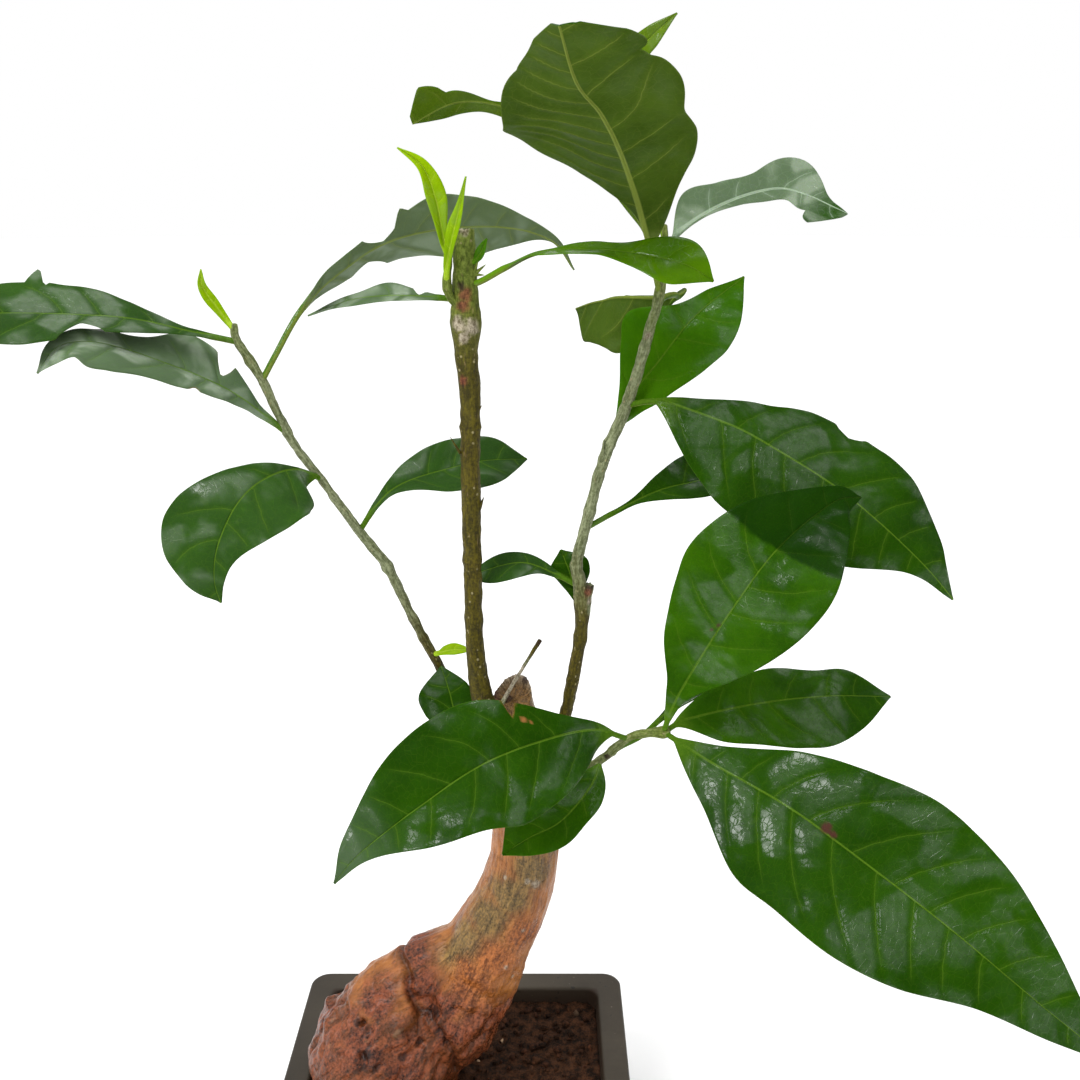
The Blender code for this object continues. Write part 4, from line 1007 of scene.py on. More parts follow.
def edge_waves(leaf, along, sides):
    """How high the ripples along the edge lift each point, in millimetres at the edge."""
    height, count, start = leaf.wave
    shift = start + np.where(sides < 0, SIDE_WAVE_SHIFT, 0)
    return height * np.sin(2 * math.pi * (count * along[:, None] + shift))


def blade_relief(grid, sides, across, veins, widest):
    """How far the swellings between the veins and the blade's ripples stand up, in millimetres."""
    between = np.abs(np.sin(math.pi * veins)) ** QUILT_POWER
    margin = 1 - ease(np.abs(sides), *QUILT_END)
    beside = ease(np.abs(across), *QUILT_START)
    quilt = QUILT_HEIGHT * (between - QUILT_LEVEL) * beside * margin * ease(veins, *FIRST_QUILT)
    ripple = RIPPLE_HEIGHT * turbulence(grid, RIPPLE_SIZE, 2) * (RIPPLE_AT_RIB + np.abs(sides))
    return min(1, widest / FULL_HALF_WIDTH) * (quilt + ripple)


def leaf_sheet(leaf):
    """The leaf's middle surface, folded along its midrib, rippled, and quilted between its veins."""
    length = curve_length(leaf.path)
    widest = max(*leaf.left, *leaf.right)
    half_columns = max(LEAST_COLUMNS, round(widest / LEAF_STEP))
    steps = np.arange(-half_columns, half_columns + 1) / half_columns
    sides = (np.sign(steps) * np.abs(steps) ** COLUMN_CROWDING)[None, :]
    spots = np.linspace(0, 1, round(length / LEAF_STEP) + 1)
    stalk = leaf.stalk / length
    along = np.clip((spots - stalk) / (1 - stalk), 0, 1)
    places, rights, uppers = leaf_frame(leaf, spots, along)
    (left, right), (left_chewed, right_chewed) = blade_halves(leaf, along)
    half = np.where(sides < 0, left[:, None], right[:, None])
    chewed = np.where(sides < 0, left_chewed[:, None], right_chewed[:, None])
    blade = ease(along, 0, FLATTEN_SPAN)[:, None]
    bend = (math.radians(leaf.fold) * ease(along, 0, FOLD_SPAN))[:, None]
    across = sides * half
    edge = sides**2 * blade * half / widest
    lift = np.abs(across) * np.sin(bend) + edge * edge_waves(leaf, along, sides)
    grid = places[:, None] + rights[:, None] * (across * np.cos(bend))[:, :, None]
    grid = grid + uppers[:, None] * lift[:, :, None]
    veins = vein_pattern(leaf, along[:, None], sides, across, length - leaf.stalk)
    relief = blade_relief(grid, sides, across, veins, widest)
    return Sheet(
        grid=grid + uppers[:, None] * (relief * blade)[:, :, None],
        sides=sides, along=along, across=across, distance=spots * length,
        veins=veins, blade=blade, chewed=chewed * ease(np.abs(sides), *CHEWED_RIM),
    )


def vein_gap(grid, veins):
    """Millimetres from one side vein to the next, at each point."""
    steps = []
    for axis in (0, 1):
        walked = np.linalg.norm(np.gradient(grid, axis=axis), axis=2)
        steps.append(np.gradient(veins, axis=axis) / np.maximum(walked, LEAST_STEP))
    return np.clip(1 / np.maximum(np.hypot(*steps), LEAST_STEP), *VEIN_GAPS)


def leaf_thickness(sheet):
    """Half the thickness above and below the middle surface: round at the stalk, with a rib on the blade."""
    rim = 1 - sheet.sides**EDGE_POWER
    round_half = STALK_RADIUS * np.sqrt(np.clip(1 - sheet.sides**2, 0, 1)) + EDGE_HALF_THICKNESS
    fine = (1 - RIB_TAPER * sheet.along)[:, None]
    groove = RIB_GROOVE * fine * np.exp(-(sheet.across / (GROOVE_HALF * fine)) ** 2)
    keel = RIB_KEEL * fine * np.exp(-(sheet.across / (KEEL_HALF * fine)) ** 2)
    flat = EDGE_HALF_THICKNESS + (LEAF_THICKNESS / 2 - EDGE_HALF_THICKNESS) * rim
    above = round_half * (1 - sheet.blade) + (flat - groove) * sheet.blade
    below = round_half * (1 - sheet.blade) + (flat + keel) * sheet.blade
    return above, below


def leaf_faces(rows, columns):
    """Faces of the closed leaf: the upper side first, then the lower side, then the rim."""
    index = np.arange(rows * columns).reshape(rows, columns)
    corners = [index[:-1, :-1], index[:-1, 1:], index[1:, 1:], index[1:, :-1]]
    upper = np.stack(corners, axis=-1).reshape(-1, 4)
    lower = upper[:, ::-1] + rows * columns
    rim = np.concatenate([index[:, 0], index[-1, 1:], index[-2::-1, -1], index[0, -2:0:-1]])
    after = np.roll(rim, -1)
    edge = np.stack([rim, after, after + rows * columns, rim + rows * columns], axis=-1)
    return np.vstack([upper, lower, edge]), len(upper), len(lower)


def leaf_points(sheet):
    """The points of the leaf's upper side and then of its lower side."""
    outward = np.cross(np.gradient(sheet.grid, axis=1), np.gradient(sheet.grid, axis=0))
    outward /= np.maximum(np.linalg.norm(outward, axis=2), 1e-9)[:, :, None]
    above, below = leaf_thickness(sheet)
    upper = sheet.grid + outward * above[:, :, None]
    lower = sheet.grid - outward * below[:, :, None]
    return np.vstack([upper.reshape(-1, 3), lower.reshape(-1, 3)])


def on_both_sides(*values):
    """Rows of the values at each point of the upper side, and the same again for the lower side."""
    rows = np.stack(np.broadcast_arrays(*values), -1)
    return np.tile(rows.reshape(-1, len(values)), (2, 1))


def shade_leaf(mesh, points):
    """Writes how much another leaf shades each point."""
    edge = np.interp(points[:, 0], *SHADED_ABOVE)
    shade = mesh.attributes.new("shaded", "FLOAT", "POINT")
    shade.data.foreach_set("value", ease(points[:, 2] - edge, *SHADE_EDGE))


def add_leaf(leaf, upper_finish, lower_finish):
    sheet = leaf_sheet(leaf)
    points = leaf_points(sheet)
    faces, upper_count, lower_count = leaf_faces(*sheet.veins.shape)
    obj = add_mesh(leaf.name + "_blade", points, faces)
    finish_piece(obj, leaf.name, (upper_finish, lower_finish))
    mesh = obj.data
    slots = np.zeros(len(mesh.polygons), int)
    slots[upper_count:upper_count + lower_count] = 1
    mesh.polygons.foreach_set("material_index", slots)
    gap = vein_gap(sheet.grid, sheet.veins)
    marks = mark_weights(leaf.name, points)
    red = MARK_CHANNELS["red"]
    marks[:, red] = np.maximum(marks[:, red], np.tile(sheet.chewed.ravel(), 2))
    set_uv(mesh, "blade", on_both_sides(sheet.across, sheet.distance[:, None]) / BLADE_UNIT)
    set_uv(mesh, "veins", on_both_sides(sheet.veins, gap) / VEIN_UNIT)
    zones = on_both_sides(np.abs(sheet.sides), sheet.along[:, None], sheet.blade)
    set_vector(mesh, "zones", zones, "FLOAT_COLOR")
    set_vector(mesh, "marks", marks, "FLOAT_COLOR")
    if leaf.name == SHADED_LEAF:
        shade_leaf(mesh, points)


def spike_mesh(foot, point, radius, first):
    """Points and faces of a small cone, its points numbered from first."""
    foot, point = np.array(foot, float), np.array(point, float)
    direction = (point - foot) / np.linalg.norm(point - foot)
    side = np.cross(direction, SPIKE_ASLANT)
    side /= np.linalg.norm(side)
    other = np.cross(direction, side)
    points = []
    for share, width in SPIKE_PROFILE:
        for index in range(SPIKE_SIDES):
            angle = 2 * math.pi * index / SPIKE_SIDES
            across = side * math.cos(angle) + other * math.sin(angle)
            points.append(foot + (point - foot) * share + across * radius * width)
    return points, numbered_from(first, ring_faces(len(SPIKE_PROFILE), SPIKE_SIDES))


def bark_tube(stem, ragged):
    """Points, faces and grain of a stem with fine ridges. A ragged one ends in a torn, hollow cut."""
    length = curve_length(stem.path)
    rings = round(length / STEM_RING) + 1
    spots = np.linspace(0, 1, rings)
    places, directions, radii, _ = sample_curve(stem.path, stem.radii, spots)
    for share, half_length, rise in SWELLINGS.get(stem.name, ()):
        radii = radii + rise * np.exp(-(((spots - share) * length / half_length) ** 2))
    end = RAGGED_END if ragged else ROUND_END
    shares, pushes = np.array(((1.0, 0.0),) * rings + end).T
    places = np.vstack([places, np.repeat(places[-1:], len(end), axis=0)])
    directions = np.vstack([directions, np.repeat(directions[-1:], len(end), axis=0)])
    radii = np.concatenate([radii, np.repeat(radii[-1], len(end))]) * shares
    spots = np.concatenate([spots, np.ones(len(end))])
    across, angles = rings_across(directions, STEM_SIDES)
    down = np.broadcast_to((spots * length)[:, None], across.shape[:2])
    turn = np.broadcast_to(angles, across.shape[:2])
    grain = np.stack([np.cos(turn) * GRAIN_RADIUS, np.sin(turn) * GRAIN_RADIUS, down], -1)
    ridges = turbulence(grain * ALONG_GRAIN, RIDGE_SIZE, 2) * RIDGE_HEIGHT
    ridges = ridges + turbulence(grain, LUMP_SIZE, 2) * LUMP_HEIGHT
    reach = radii[:, None] * (1 + ridges * np.minimum(1, THICK_STEM / radii)[:, None])
    points = places[:, None] + across * reach[:, :, None]
    points = points + directions[:, None] * (pushes * radii.max() / PUSH_RADIUS)[:, None, None]
    if ragged:
        torn = turbulence(grain[-1] * (1, 1, 0), TORN_SIZE, 3) * TORN_HEIGHT
        for ring, share in enumerate(TORN_RINGS, start=rings - 2):
            points[ring] += directions[ring] * (torn * share)[:, None]
    faces = ring_faces(len(radii), STEM_SIDES)
    return points.reshape(-1, 3), faces, grain.reshape(-1, 3), np.repeat(spots, STEM_SIDES)


def add_stem(stem, finish):
    points, faces, grain, spots = map(list, bark_tube(stem, stem.name == "stem_centre"))
    for piece, foot, point, radius in SPIKES:
        if piece == stem.name:
            nearest = nearest_index(np.array(points), foot)
            more, more_faces = spike_mesh(foot, point, radius, len(points))
            points += more
            faces += more_faces
            grain += [grain[nearest]] * len(more)
            spots += [spots[nearest]] * len(more)
    if stem.name == "stem_right":
        more, more_faces, more_grain, _ = bark_tube(PRUNED_STUB, True)
        faces += numbered_from(len(points), more_faces)
        points += list(more)
        grain += list(more_grain)
        spots += [STUB_SHARE] * len(more)
    points = np.array(points)
    obj = add_mesh(stem.name + "_bark", points, faces)
    finish_piece(obj, stem.name, (finish,))
    tints = np.array(STEM_TINTS[stem.name])
    zones = interpolate(spots, np.linspace(0, 1, len(tints)), tints)
    set_vector(obj.data, "grain", np.array(grain) * MM)
    set_vector(obj.data, "zones", zones, "FLOAT_COLOR")
    set_vector(obj.data, "marks", mark_weights(stem.name, points), "FLOAT_COLOR")


def limb_tube(stem):
    """Points and faces of one plain limb of the trunk."""
    rings = round(curve_length(stem.path) / TRUNK_RING) + 1
    places, directions, radii, _ = sample_curve(stem.path, stem.radii, np.linspace(0, 1, rings))
    across, _ = rings_across(directions, TRUNK_SIDES)
    points = places[:, None] + across * radii[:, None, None]
    return points.reshape(-1, 3), ring_faces(rings, TRUNK_SIDES)


def slanting_cutter():
    """A block on the slanting plane of the old pruning cut."""
    facing = Vector(CUT_FACING).normalized()
    turn = Vector((0, 0, 1)).rotation_difference(facing).to_matrix().to_4x4()
    shape = bmesh.new()
    bmesh.ops.create_cube(shape, size=CUT_BLOCK * MM)
    bmesh.ops.translate(shape, verts=shape.verts, vec=(0, 0, CUT_BLOCK * MM / 2))
    place = Matrix.Translation(Vector(CUT_PLACE) * MM)
    bmesh.ops.transform(shape, matrix=place @ turn, verts=shape.verts)
    return shape_object("slanting_cutter", shape)


def apply_modifiers(obj):
    """Replaces the object's mesh by what its modifiers make of it."""
    bpy.context.view_layer.update()
    graph = bpy.context.evaluated_depsgraph_get()
    mesh = bpy.data.meshes.new_from_object(obj.evaluated_get(graph))
    obj.modifiers.clear()
    obj.data = mesh


def add_voxels(obj):
    modifier = obj.modifiers.new("voxels", "REMESH")
    modifier.mode = "VOXEL"
    modifier.voxel_size = VOXEL * MM


def add_smoothing(obj, rounds):
    modifier = obj.modifiers.new("smooth", "SMOOTH")
    modifier.iterations = rounds


def add_cut(obj, cutter):
    """Adds the modifier that takes the cutter's shape out of the object."""
    modifier = obj.modifiers.new("cut", "BOOLEAN")
    modifier.operation = "DIFFERENCE"
    modifier.object = cutter
    modifier.solver = "EXACT"


def grown_trunk():
    """The limbs of the trunk grown into one smooth skin, cut off at the slanting plane."""
    points, faces = [], []
    for limb in TRUNK_LIMBS:
        limb_points, limb_faces = limb_tube(limb)
        faces += numbered_from(len(points), limb_faces)
        points += list(limb_points)
    trunk = add_mesh("trunk_bark", points, faces)
    add_voxels(trunk)
    add_smoothing(trunk, JOIN_SMOOTHING)
    apply_modifiers(trunk)
    cutter = slanting_cutter()
    add_cut(trunk, cutter)
    add_voxels(trunk)
    add_smoothing(trunk, CUT_SMOOTHING)
    apply_modifiers(trunk)
    bpy.data.objects.remove(cutter, do_unlink=True)
    return trunk


def grain_round(stem, points):
    """Grain coordinates of points round a limb: two across it and one along it."""
    spots = np.linspace(0, 1, round(curve_length(stem.path) / GRAIN_STEP))
    places, directions, _, length = sample_curve(stem.path, stem.radii, spots)
    side, other = frames_along(directions)
    nearest = np.array([np.argmin(((places - point) ** 2).sum(axis=1)) for point in points])
    delta = points - places[nearest]
    down = spots[nearest] * length + (delta * directions[nearest]).sum(axis=1)
    across = np.column_stack([(delta * side[nearest]).sum(axis=1), (delta * other[nearest]).sum(axis=1)])
    across /= np.maximum(np.linalg.norm(across, axis=1), 1e-6)[:, None]
    return np.column_stack([across * TRUNK_GRAIN_RADIUS, down])


def line_distance(points, line):
    """The distance from each point to a bent line."""
    line = np.array(line, float)
    nearest = np.full(len(points), np.inf)
    for start, end in zip(line, line[1:]):
        squared = max((end - start) @ (end - start), 1e-9)
        along = np.clip((points - start) @ (end - start) / squared, 0, 1)
        away = np.linalg.norm(points - start - along[:, None] * (end - start), axis=1)
        nearest = np.minimum(nearest, away)
    return nearest


def trunk_relief(points, grain):
    """How far each point of the trunk moves out, in millimetres, and how deep in a crease or pit it lies."""
    foot = 1 - ease(points[:, 2], *FOOT_TOP)
    relief = np.zeros(len(points))
    for size, octaves, on_stem, on_foot in SWELLS:
        relief += turbulence(points, size, octaves) * (on_stem + on_foot * foot)
    relief += turbulence(grain * FIBRE_STRETCH, FIBRE_SIZE, 3) * FIBRE_HEIGHT
    folds = 1 - FOLD_NARROWING * np.abs(turbulence(points * FOLD_STRETCH, FOLD_SIZE, 3))
    relief -= np.clip(folds, 0, 1) ** 3 * FOLD_DEPTH * foot
    sunk = np.zeros(len(points))
    wander = turbulence(points, WANDER_SIZE, 2) * WANDER_HEIGHT
    for line, half, depth in CREASES:
        on_skin = [nearest_point(points, place) for place in smooth_curve(line)]
        away = line_distance(points, on_skin) + wander
        sunk += depth * np.exp(-((away / half) ** 2))
    rim_height, rim_place, rim_width = PIT_RIM
    for place, radius, depth in PITS:
        away = np.linalg.norm(points - nearest_point(points, place), axis=1) / radius
        sunk += depth * np.exp(-(away**2) * PIT_STEEPNESS)
        relief += rim_height * np.exp(-(((away - rim_place) / rim_width) ** 2))
    return relief - sunk, sunk


def hollow_cut(points):
    """The way the slanting cut faces, and how much each point lies in its weathered hollow and on it."""
    facing = np.array(CUT_FACING) / np.linalg.norm(CUT_FACING)
    height = (points - CUT_PLACE) @ facing
    on_cut = 1 - ease(np.abs(height), *CUT_EDGE)
    inner = on_cut > INNER_CUT
    offset = points - points[inner].mean(axis=0)
    away = np.linalg.norm(offset - (offset @ facing)[:, None] * facing, axis=1)
    reach = np.percentile(away[inner], BOWL_PERCENT)
    bowl = on_cut * (1 - ease(away / reach, *BOWL_EDGE))
    return facing, bowl, on_cut


def trunk_zones(points, on_cut):
    """How much of each bark colour there is at each point of the trunk."""
    zones = np.zeros((len(points), 3))
    rough = turbulence(points, ZONE_PATCHES, 3) * ZONE_ROUGHNESS
    for kind, places in TRUNK_ZONES.items():
        channel = ZONE_CHANNELS[kind]
        for place, reach in places:
            away = np.linalg.norm(points - place, axis=1) / reach + rough
            zones[:, channel] = np.maximum(zones[:, channel], 1 - ease(away, *ZONE_EDGE))
    low = 1 - ease(points[:, 2] + FOOT_RED_WANDER * rough, *FOOT_RED_TOP)
    for kind, weight in (("dark_red", low * FOOT_RED), ("olive", on_cut)):
        channel = ZONE_CHANNELS[kind]
        zones[:, channel] = np.maximum(zones[:, channel], weight)
    return zones


def add_trunk(finish):
    trunk = grown_trunk()
    mesh = trunk.data
    points, normals = mesh_points(mesh)
    grain = grain_round(TRUNK_LIMBS[0], points)
    relief, sunk = trunk_relief(points, grain)
    facing, bowl, on_cut = hollow_cut(points)
    moved = points + normals * (relief * (1 - CUT_FLATNESS * on_cut))[:, None]
    fibres = turbulence(grain * ALONG_GRAIN, BOWL_FIBRES, 2)
    moved -= facing * (bowl * (BOWL_DEPTH + fibres))[:, None]
    mesh.vertices.foreach_set("co", (moved * MM).ravel())
    mesh.update()
    mesh.shade_smooth()
    finish_piece(trunk, "trunk", (finish,))
    signs = {
        # shade painted into the creases and pits, darker the deeper they lie
        "dark": ease(sunk, *SUNK_EDGE) * SUNK_PAINTED_SHADE,
        "red": bowl * BOWL_RED,
        "pale": on_cut * (1 - bowl) * CUT_PALE,
    }
    marks = mark_weights("trunk", moved)
    for kind, channel in MARK_CHANNELS.items():
        marks[:, channel] = np.maximum(marks[:, channel], signs[kind])
    set_vector(mesh, "grain", grain * MM)
    set_vector(mesh, "zones", trunk_zones(points, on_cut), "FLOAT_COLOR")
    set_vector(mesh, "marks", marks, "FLOAT_COLOR")


def rounded_outline(width, depth, corner):
    """Points round a rectangle with rounded corners, in the plane."""
    points = []
    centres = ((1, 1, 0), (-1, 1, 90), (-1, -1, 180), (1, -1, 270))
    for sign_x, sign_y, first in centres:
        for step in range(POT_CORNER_STEPS + 1):
            angle = math.radians(first + 90 * step / POT_CORNER_STEPS)
            x = sign_x * (width / 2 - corner) + corner * math.cos(angle)
            y = sign_y * (depth / 2 - corner) + corner * math.sin(angle)
            points.append((x, y))
    return points


def pot_inset_at(height):
    """How far the pot's outer wall stands in from the rim's outer edge at a height."""
    slope = (POT_BASE_INSET - RIM_OVERHANG) / (POT_HEIGHT - RIM_HEIGHT)
    return POT_BASE_INSET - slope * height


def round_over(start, turn, radius):
    """Heights and insets round an edge, from the first to the second corner of a quarter circle."""
    (height, inset), (first, last) = start, turn
    made = []
    for step in range(ROUND_STEPS + 1):
        angle = math.radians(first + (last - first) * step / ROUND_STEPS)
        made.append((height + radius * math.sin(angle), inset - radius * math.cos(angle)))
    return made


def pot_levels():
    """(height, inset, corner) of the pot's profile, from under its foot, over its rim and down inside."""
    rim_bottom = POT_HEIGHT - RIM_HEIGHT
    rim_round = POT_HEIGHT - POT_ROUND
    foot = pot_inset_at(0)
    floor_inset = foot + POT_WALL
    outside = round_over((POT_ROUND, foot + POT_ROUND), (-90, 0), POT_ROUND)
    outside += [
        (rim_bottom - RIM_STEP, pot_inset_at(rim_bottom - RIM_STEP)),
        (rim_bottom - RIM_RECESS, RIM_OVERHANG),
    ]
    outside += round_over((rim_bottom + POT_ROUND, POT_ROUND), (RIM_UNDER_TURN, 0), POT_ROUND)
    outside += round_over((rim_round, POT_ROUND), (0, 90), POT_ROUND)
    inside = round_over((rim_round, RIM_WIDTH - POT_ROUND), (90, 180), POT_ROUND)
    inside += [
        (POT_HEIGHT - INNER_STEP, RIM_WIDTH + INNER_LEAN),
        (POT_FLOOR + FLOOR_CHAMFER, floor_inset - FLOOR_LEAN),
        (POT_FLOOR, floor_inset + FLOOR_CHAMFER),
    ]
    levels = [(height, inset, POT_CORNER) for height, inset in outside]
    return levels + [(height, inset, INNER_CORNER) for height, inset in inside]


def drill_drain(pot, side):
    """Cuts one of the two drain holes through the pot's floor."""
    shape = bmesh.new()
    place = Matrix.Translation(Vector((side * DRAIN_OFFSET, 0, POT_FLOOR / 2)) * MM)
    radius = DRAIN_RADIUS * MM
    bmesh.ops.create_cone(
        shape, cap_ends=True, segments=DRAIN_SIDES, radius1=radius, radius2=radius,
        depth=POT_FLOOR * 2 * MM, matrix=place,
    )
    drill = shape_object("drain", shape)
    add_cut(pot, drill)
    apply_modifiers(pot)
    bpy.data.objects.remove(drill, do_unlink=True)


def add_pot(finish):
    points = []
    levels = pot_levels()
    for height, inset, corner in levels:
        outline = rounded_outline(POT_WIDTH - 2 * inset, POT_DEPTH - 2 * inset, corner)
        points += [(x, y, height) for x, y in outline]
    pot = add_mesh("pot_shell", points, ring_faces(len(levels), 4 * (POT_CORNER_STEPS + 1)))
    for side in (-1, 1):
        drill_drain(pot, side)
    pot.data.shade_smooth()
    pot.data.set_sharp_from_angle(angle=POT_SHARP_ANGLE)
    finish_piece(pot, "pot", (finish,))


def soil_height(places):
    """The soil's level at places in the plane: lumps of several sizes, and a low heap round the trunk."""
    points = np.column_stack([places, np.zeros(len(places))])
    height = SOIL_TOP - SOIL_SINK
    for size, octaves, rise in SOIL_SWELLS:
        height = height + turbulence(points, size, octaves) * rise
    size, octaves, rise = SOIL_GRAIN
    height += np.abs(turbulence(points, size, octaves)) * rise
    heap = np.exp(-((np.linalg.norm(places - HEAP_PLACE, axis=1) / HEAP_REACH) ** 2))
    return np.minimum(height + HEAP_HEIGHT * heap, POT_HEIGHT - SOIL_BELOW_RIM)


def crumb_shape(size, rng):
    """Points and faces of one crumb of soil."""
    shape = bmesh.new()
    bmesh.ops.create_icosphere(shape, subdivisions=2, radius=1.0)
    points = np.array([vertex.co[:] for vertex in shape.verts])
    faces = [tuple(vertex.index for vertex in face.verts) for face in shape.faces]
    shape.free()
    stretch = size * rng.uniform(*CRUMB_STRETCH, 3)
    drawn = rng.uniform(-CRUMB_NOISE_SPAN, CRUMB_NOISE_SPAN, 3)
    bumps = 1 + CRUMB_BUMPS * turbulence(points + drawn, CRUMB_BUMP_SIZE, 3)
    return points * bumps[:, None] * stretch, faces


def soil_block(width, depth):
    """Points of the soil's top and of its bottom, and the faces that close them into one block."""
    columns, rows = round(width / SOIL_STEP), round(depth / SOIL_STEP)
    x, y = np.meshgrid(np.linspace(-width / 2, width / 2, columns), np.linspace(-depth / 2, depth / 2, rows))
    places = np.column_stack([x.ravel(), y.ravel()])
    corner = np.abs(places) - (width / 2 - INNER_CORNER, depth / 2 - INNER_CORNER)
    outside = np.linalg.norm(np.maximum(corner, 0), axis=1)
    inward = INNER_CORNER / np.maximum(outside, INNER_CORNER)
    centre = np.sign(places) * (np.abs(places) - np.maximum(corner, 0))
    places = centre + (places - centre) * inward[:, None]
    floor_inset = POT_BASE_INSET + POT_WALL + POT_ROUND
    shrink = (POT_WIDTH - 2 * floor_inset) / width, (POT_DEPTH - 2 * floor_inset) / depth
    top = np.column_stack([places, soil_height(places)])
    bottom = np.column_stack([places * shrink, np.full(len(places), POT_FLOOR + SOIL_GAP)])
    faces, _, _ = leaf_faces(rows, columns)
    return np.vstack([top, bottom]), [tuple(face) for face in faces]


def add_soil(finish):
    rng = np.random.default_rng(SEED)
    inset = RIM_WIDTH + INNER_LEAN + SOIL_GAP
    width, depth = POT_WIDTH - 2 * inset, POT_DEPTH - 2 * inset
    block, faces = soil_block(width, depth)
    points = [block]
    colours = [np.zeros((len(block), 3))]
    total = len(block)
    far = np.array((width, depth)) / 2 - CRUMB_MARGIN
    for _ in range(CRUMBS):
        place = rng.uniform(-far, far)
        crumb, crumb_faces = crumb_shape(rng.uniform(*CRUMB_SIZES), rng)
        height = soil_height(place[None])[0] + CRUMB_LIFT
        points.append(crumb + (*place, height))
        faces += numbered_from(total, crumb_faces)
        colours.append(np.tile(rng.uniform(0, 1, 3), (len(crumb), 1)))
        total += len(crumb)
    soil = add_mesh("soil_crumbs", np.vstack(points), faces)
    finish_piece(soil, "soil", (finish,))
    set_vector(soil.data, "zones", np.vstack(colours), "FLOAT_COLOR")


# Numbers of the nodes' outputs: a place on the object, and an attribute as a vector or as one value
OBJECT_PLACE = 3
AS_VECTOR = 1
AS_VALUE = 2


class Surface:
    """A material being made. Each method adds nodes and returns their output."""

    def __init__(self, name):
        self.material = bpy.data.materials.new(name)
        self.material.use_nodes = True
        self.tree = self.material.node_tree
        self.shader = self.tree.nodes["Principled BSDF"]
        self.solid = self.add("TexCoord", output=OBJECT_PLACE)

    def connect(self, socket, value):
        if isinstance(value, bpy.types.NodeSocket):
            self.tree.links.new(value, socket)
        elif isinstance(value, tuple) and len(value) == 3 and len(socket.default_value) == 4:
            socket.default_value = (*value, 1.0)
        else:
            socket.default_value = value

    def add(self, kind, values=(), output=0, **settings):
        """Adds a node. values are its inputs by name or number, and settings its properties."""
        made = self.tree.nodes.new("ShaderNode" + kind)
        for name, value in settings.items():
            setattr(made, name, value)
        for key, value in dict(values).items():
            self.connect(made.inputs[key], value)
        return made.outputs[output]

    def math(self, operation, first, second=0.0, clamp=False):
        return self.add("Math", {0: first, 1: second}, operation=operation, use_clamp=clamp)

    def times(self, first, second):
        return self.math("MULTIPLY", first, second)

    def plus(self, first, second):
        return self.math("ADD", first, second)

    def less(self, value):
        """1 minus the value."""
        return self.math("SUBTRACT", 1.0, value, clamp=True)

    def total(self, *terms):
        """The sum of values, each given with its share."""
        made, *others = [self.times(value, share) for value, share in terms]
        for other in others:
            made = self.plus(made, other)
        return made

    def step(self, value, low, high):
        """A smooth step from 0 at low to 1 at high."""
        values = {"Value": value, "From Min": low, "From Max": high}
        return self.add("MapRange", values, interpolation_type="SMOOTHSTEP")

    def mix(self, factor, first, second):
        """A mix of two colours, which are the node's inputs 6 and 7 and its output 2."""
        return self.add("Mix", {"Factor": factor, 6: first, 7: second}, output=2, data_type="RGBA")

    def cover(self, colour, *layers):
        """The colour under layers of others, each given as where it lies, how strongly, and its colour."""
        for where, share, over in layers:
            colour = self.mix(self.times(where, share), colour, over)
        return colour

    def stretch(self, vector, scale):
        return self.add("VectorMath", {0: vector, 1: scale}, operation="MULTIPLY")

    def noise(self, vector, scale, detail=3.0, roughness=0.5, distortion=0.0):
        values = {"Vector": vector, "Scale": scale, "Detail": detail, "Roughness": roughness}
        return self.add("TexNoise", {**values, "Distortion": distortion})

    def cells(self, vector, scale, feature="F1"):
        return self.add("TexVoronoi", {"Vector": vector, "Scale": scale}, feature=feature)

    def channels(self, name):
        """The red, green and blue of a colour that the mesh carries."""
        colour = self.add("Attribute", attribute_name=name)
        parts = self.add("SeparateColor", {0: colour}).node
        return parts.outputs[0], parts.outputs[1], parts.outputs[2]

    def bump(self, height, distance):
        """Relief from a height, distance millimetres high where the height is 1."""
        return self.add("Bump", {"Height": height, "Distance": distance * MM, "Strength": 1.0})

    def finish(self, **values):
        for name, value in values.items():
            self.connect(self.shader.inputs[name.replace("_", " ")], value)
        return self.material


class LeafLook(NamedTuple):
    """One side of a leaf: its colours, its roughness, how wet it is, and its veins.

    raised veins stand out and the others lie in troughs. marked is how strongly veins take their own colour.
    rib_width is half the midrib's width at the blade's foot, in millimetres. The last two fields are how
    much grey sheen is painted on the patches between the veins, and how much on the whole side: most of it,
    and its tip.
    """

    dark: tuple
    light: tuple
    vein: tuple
    roughness: float
    wet: float = 0
    raised: bool = False
    marked: float = 0.6
    rib_width: float = 0.6
    gleam: float = 0.04
    frost: tuple = (0, 0)
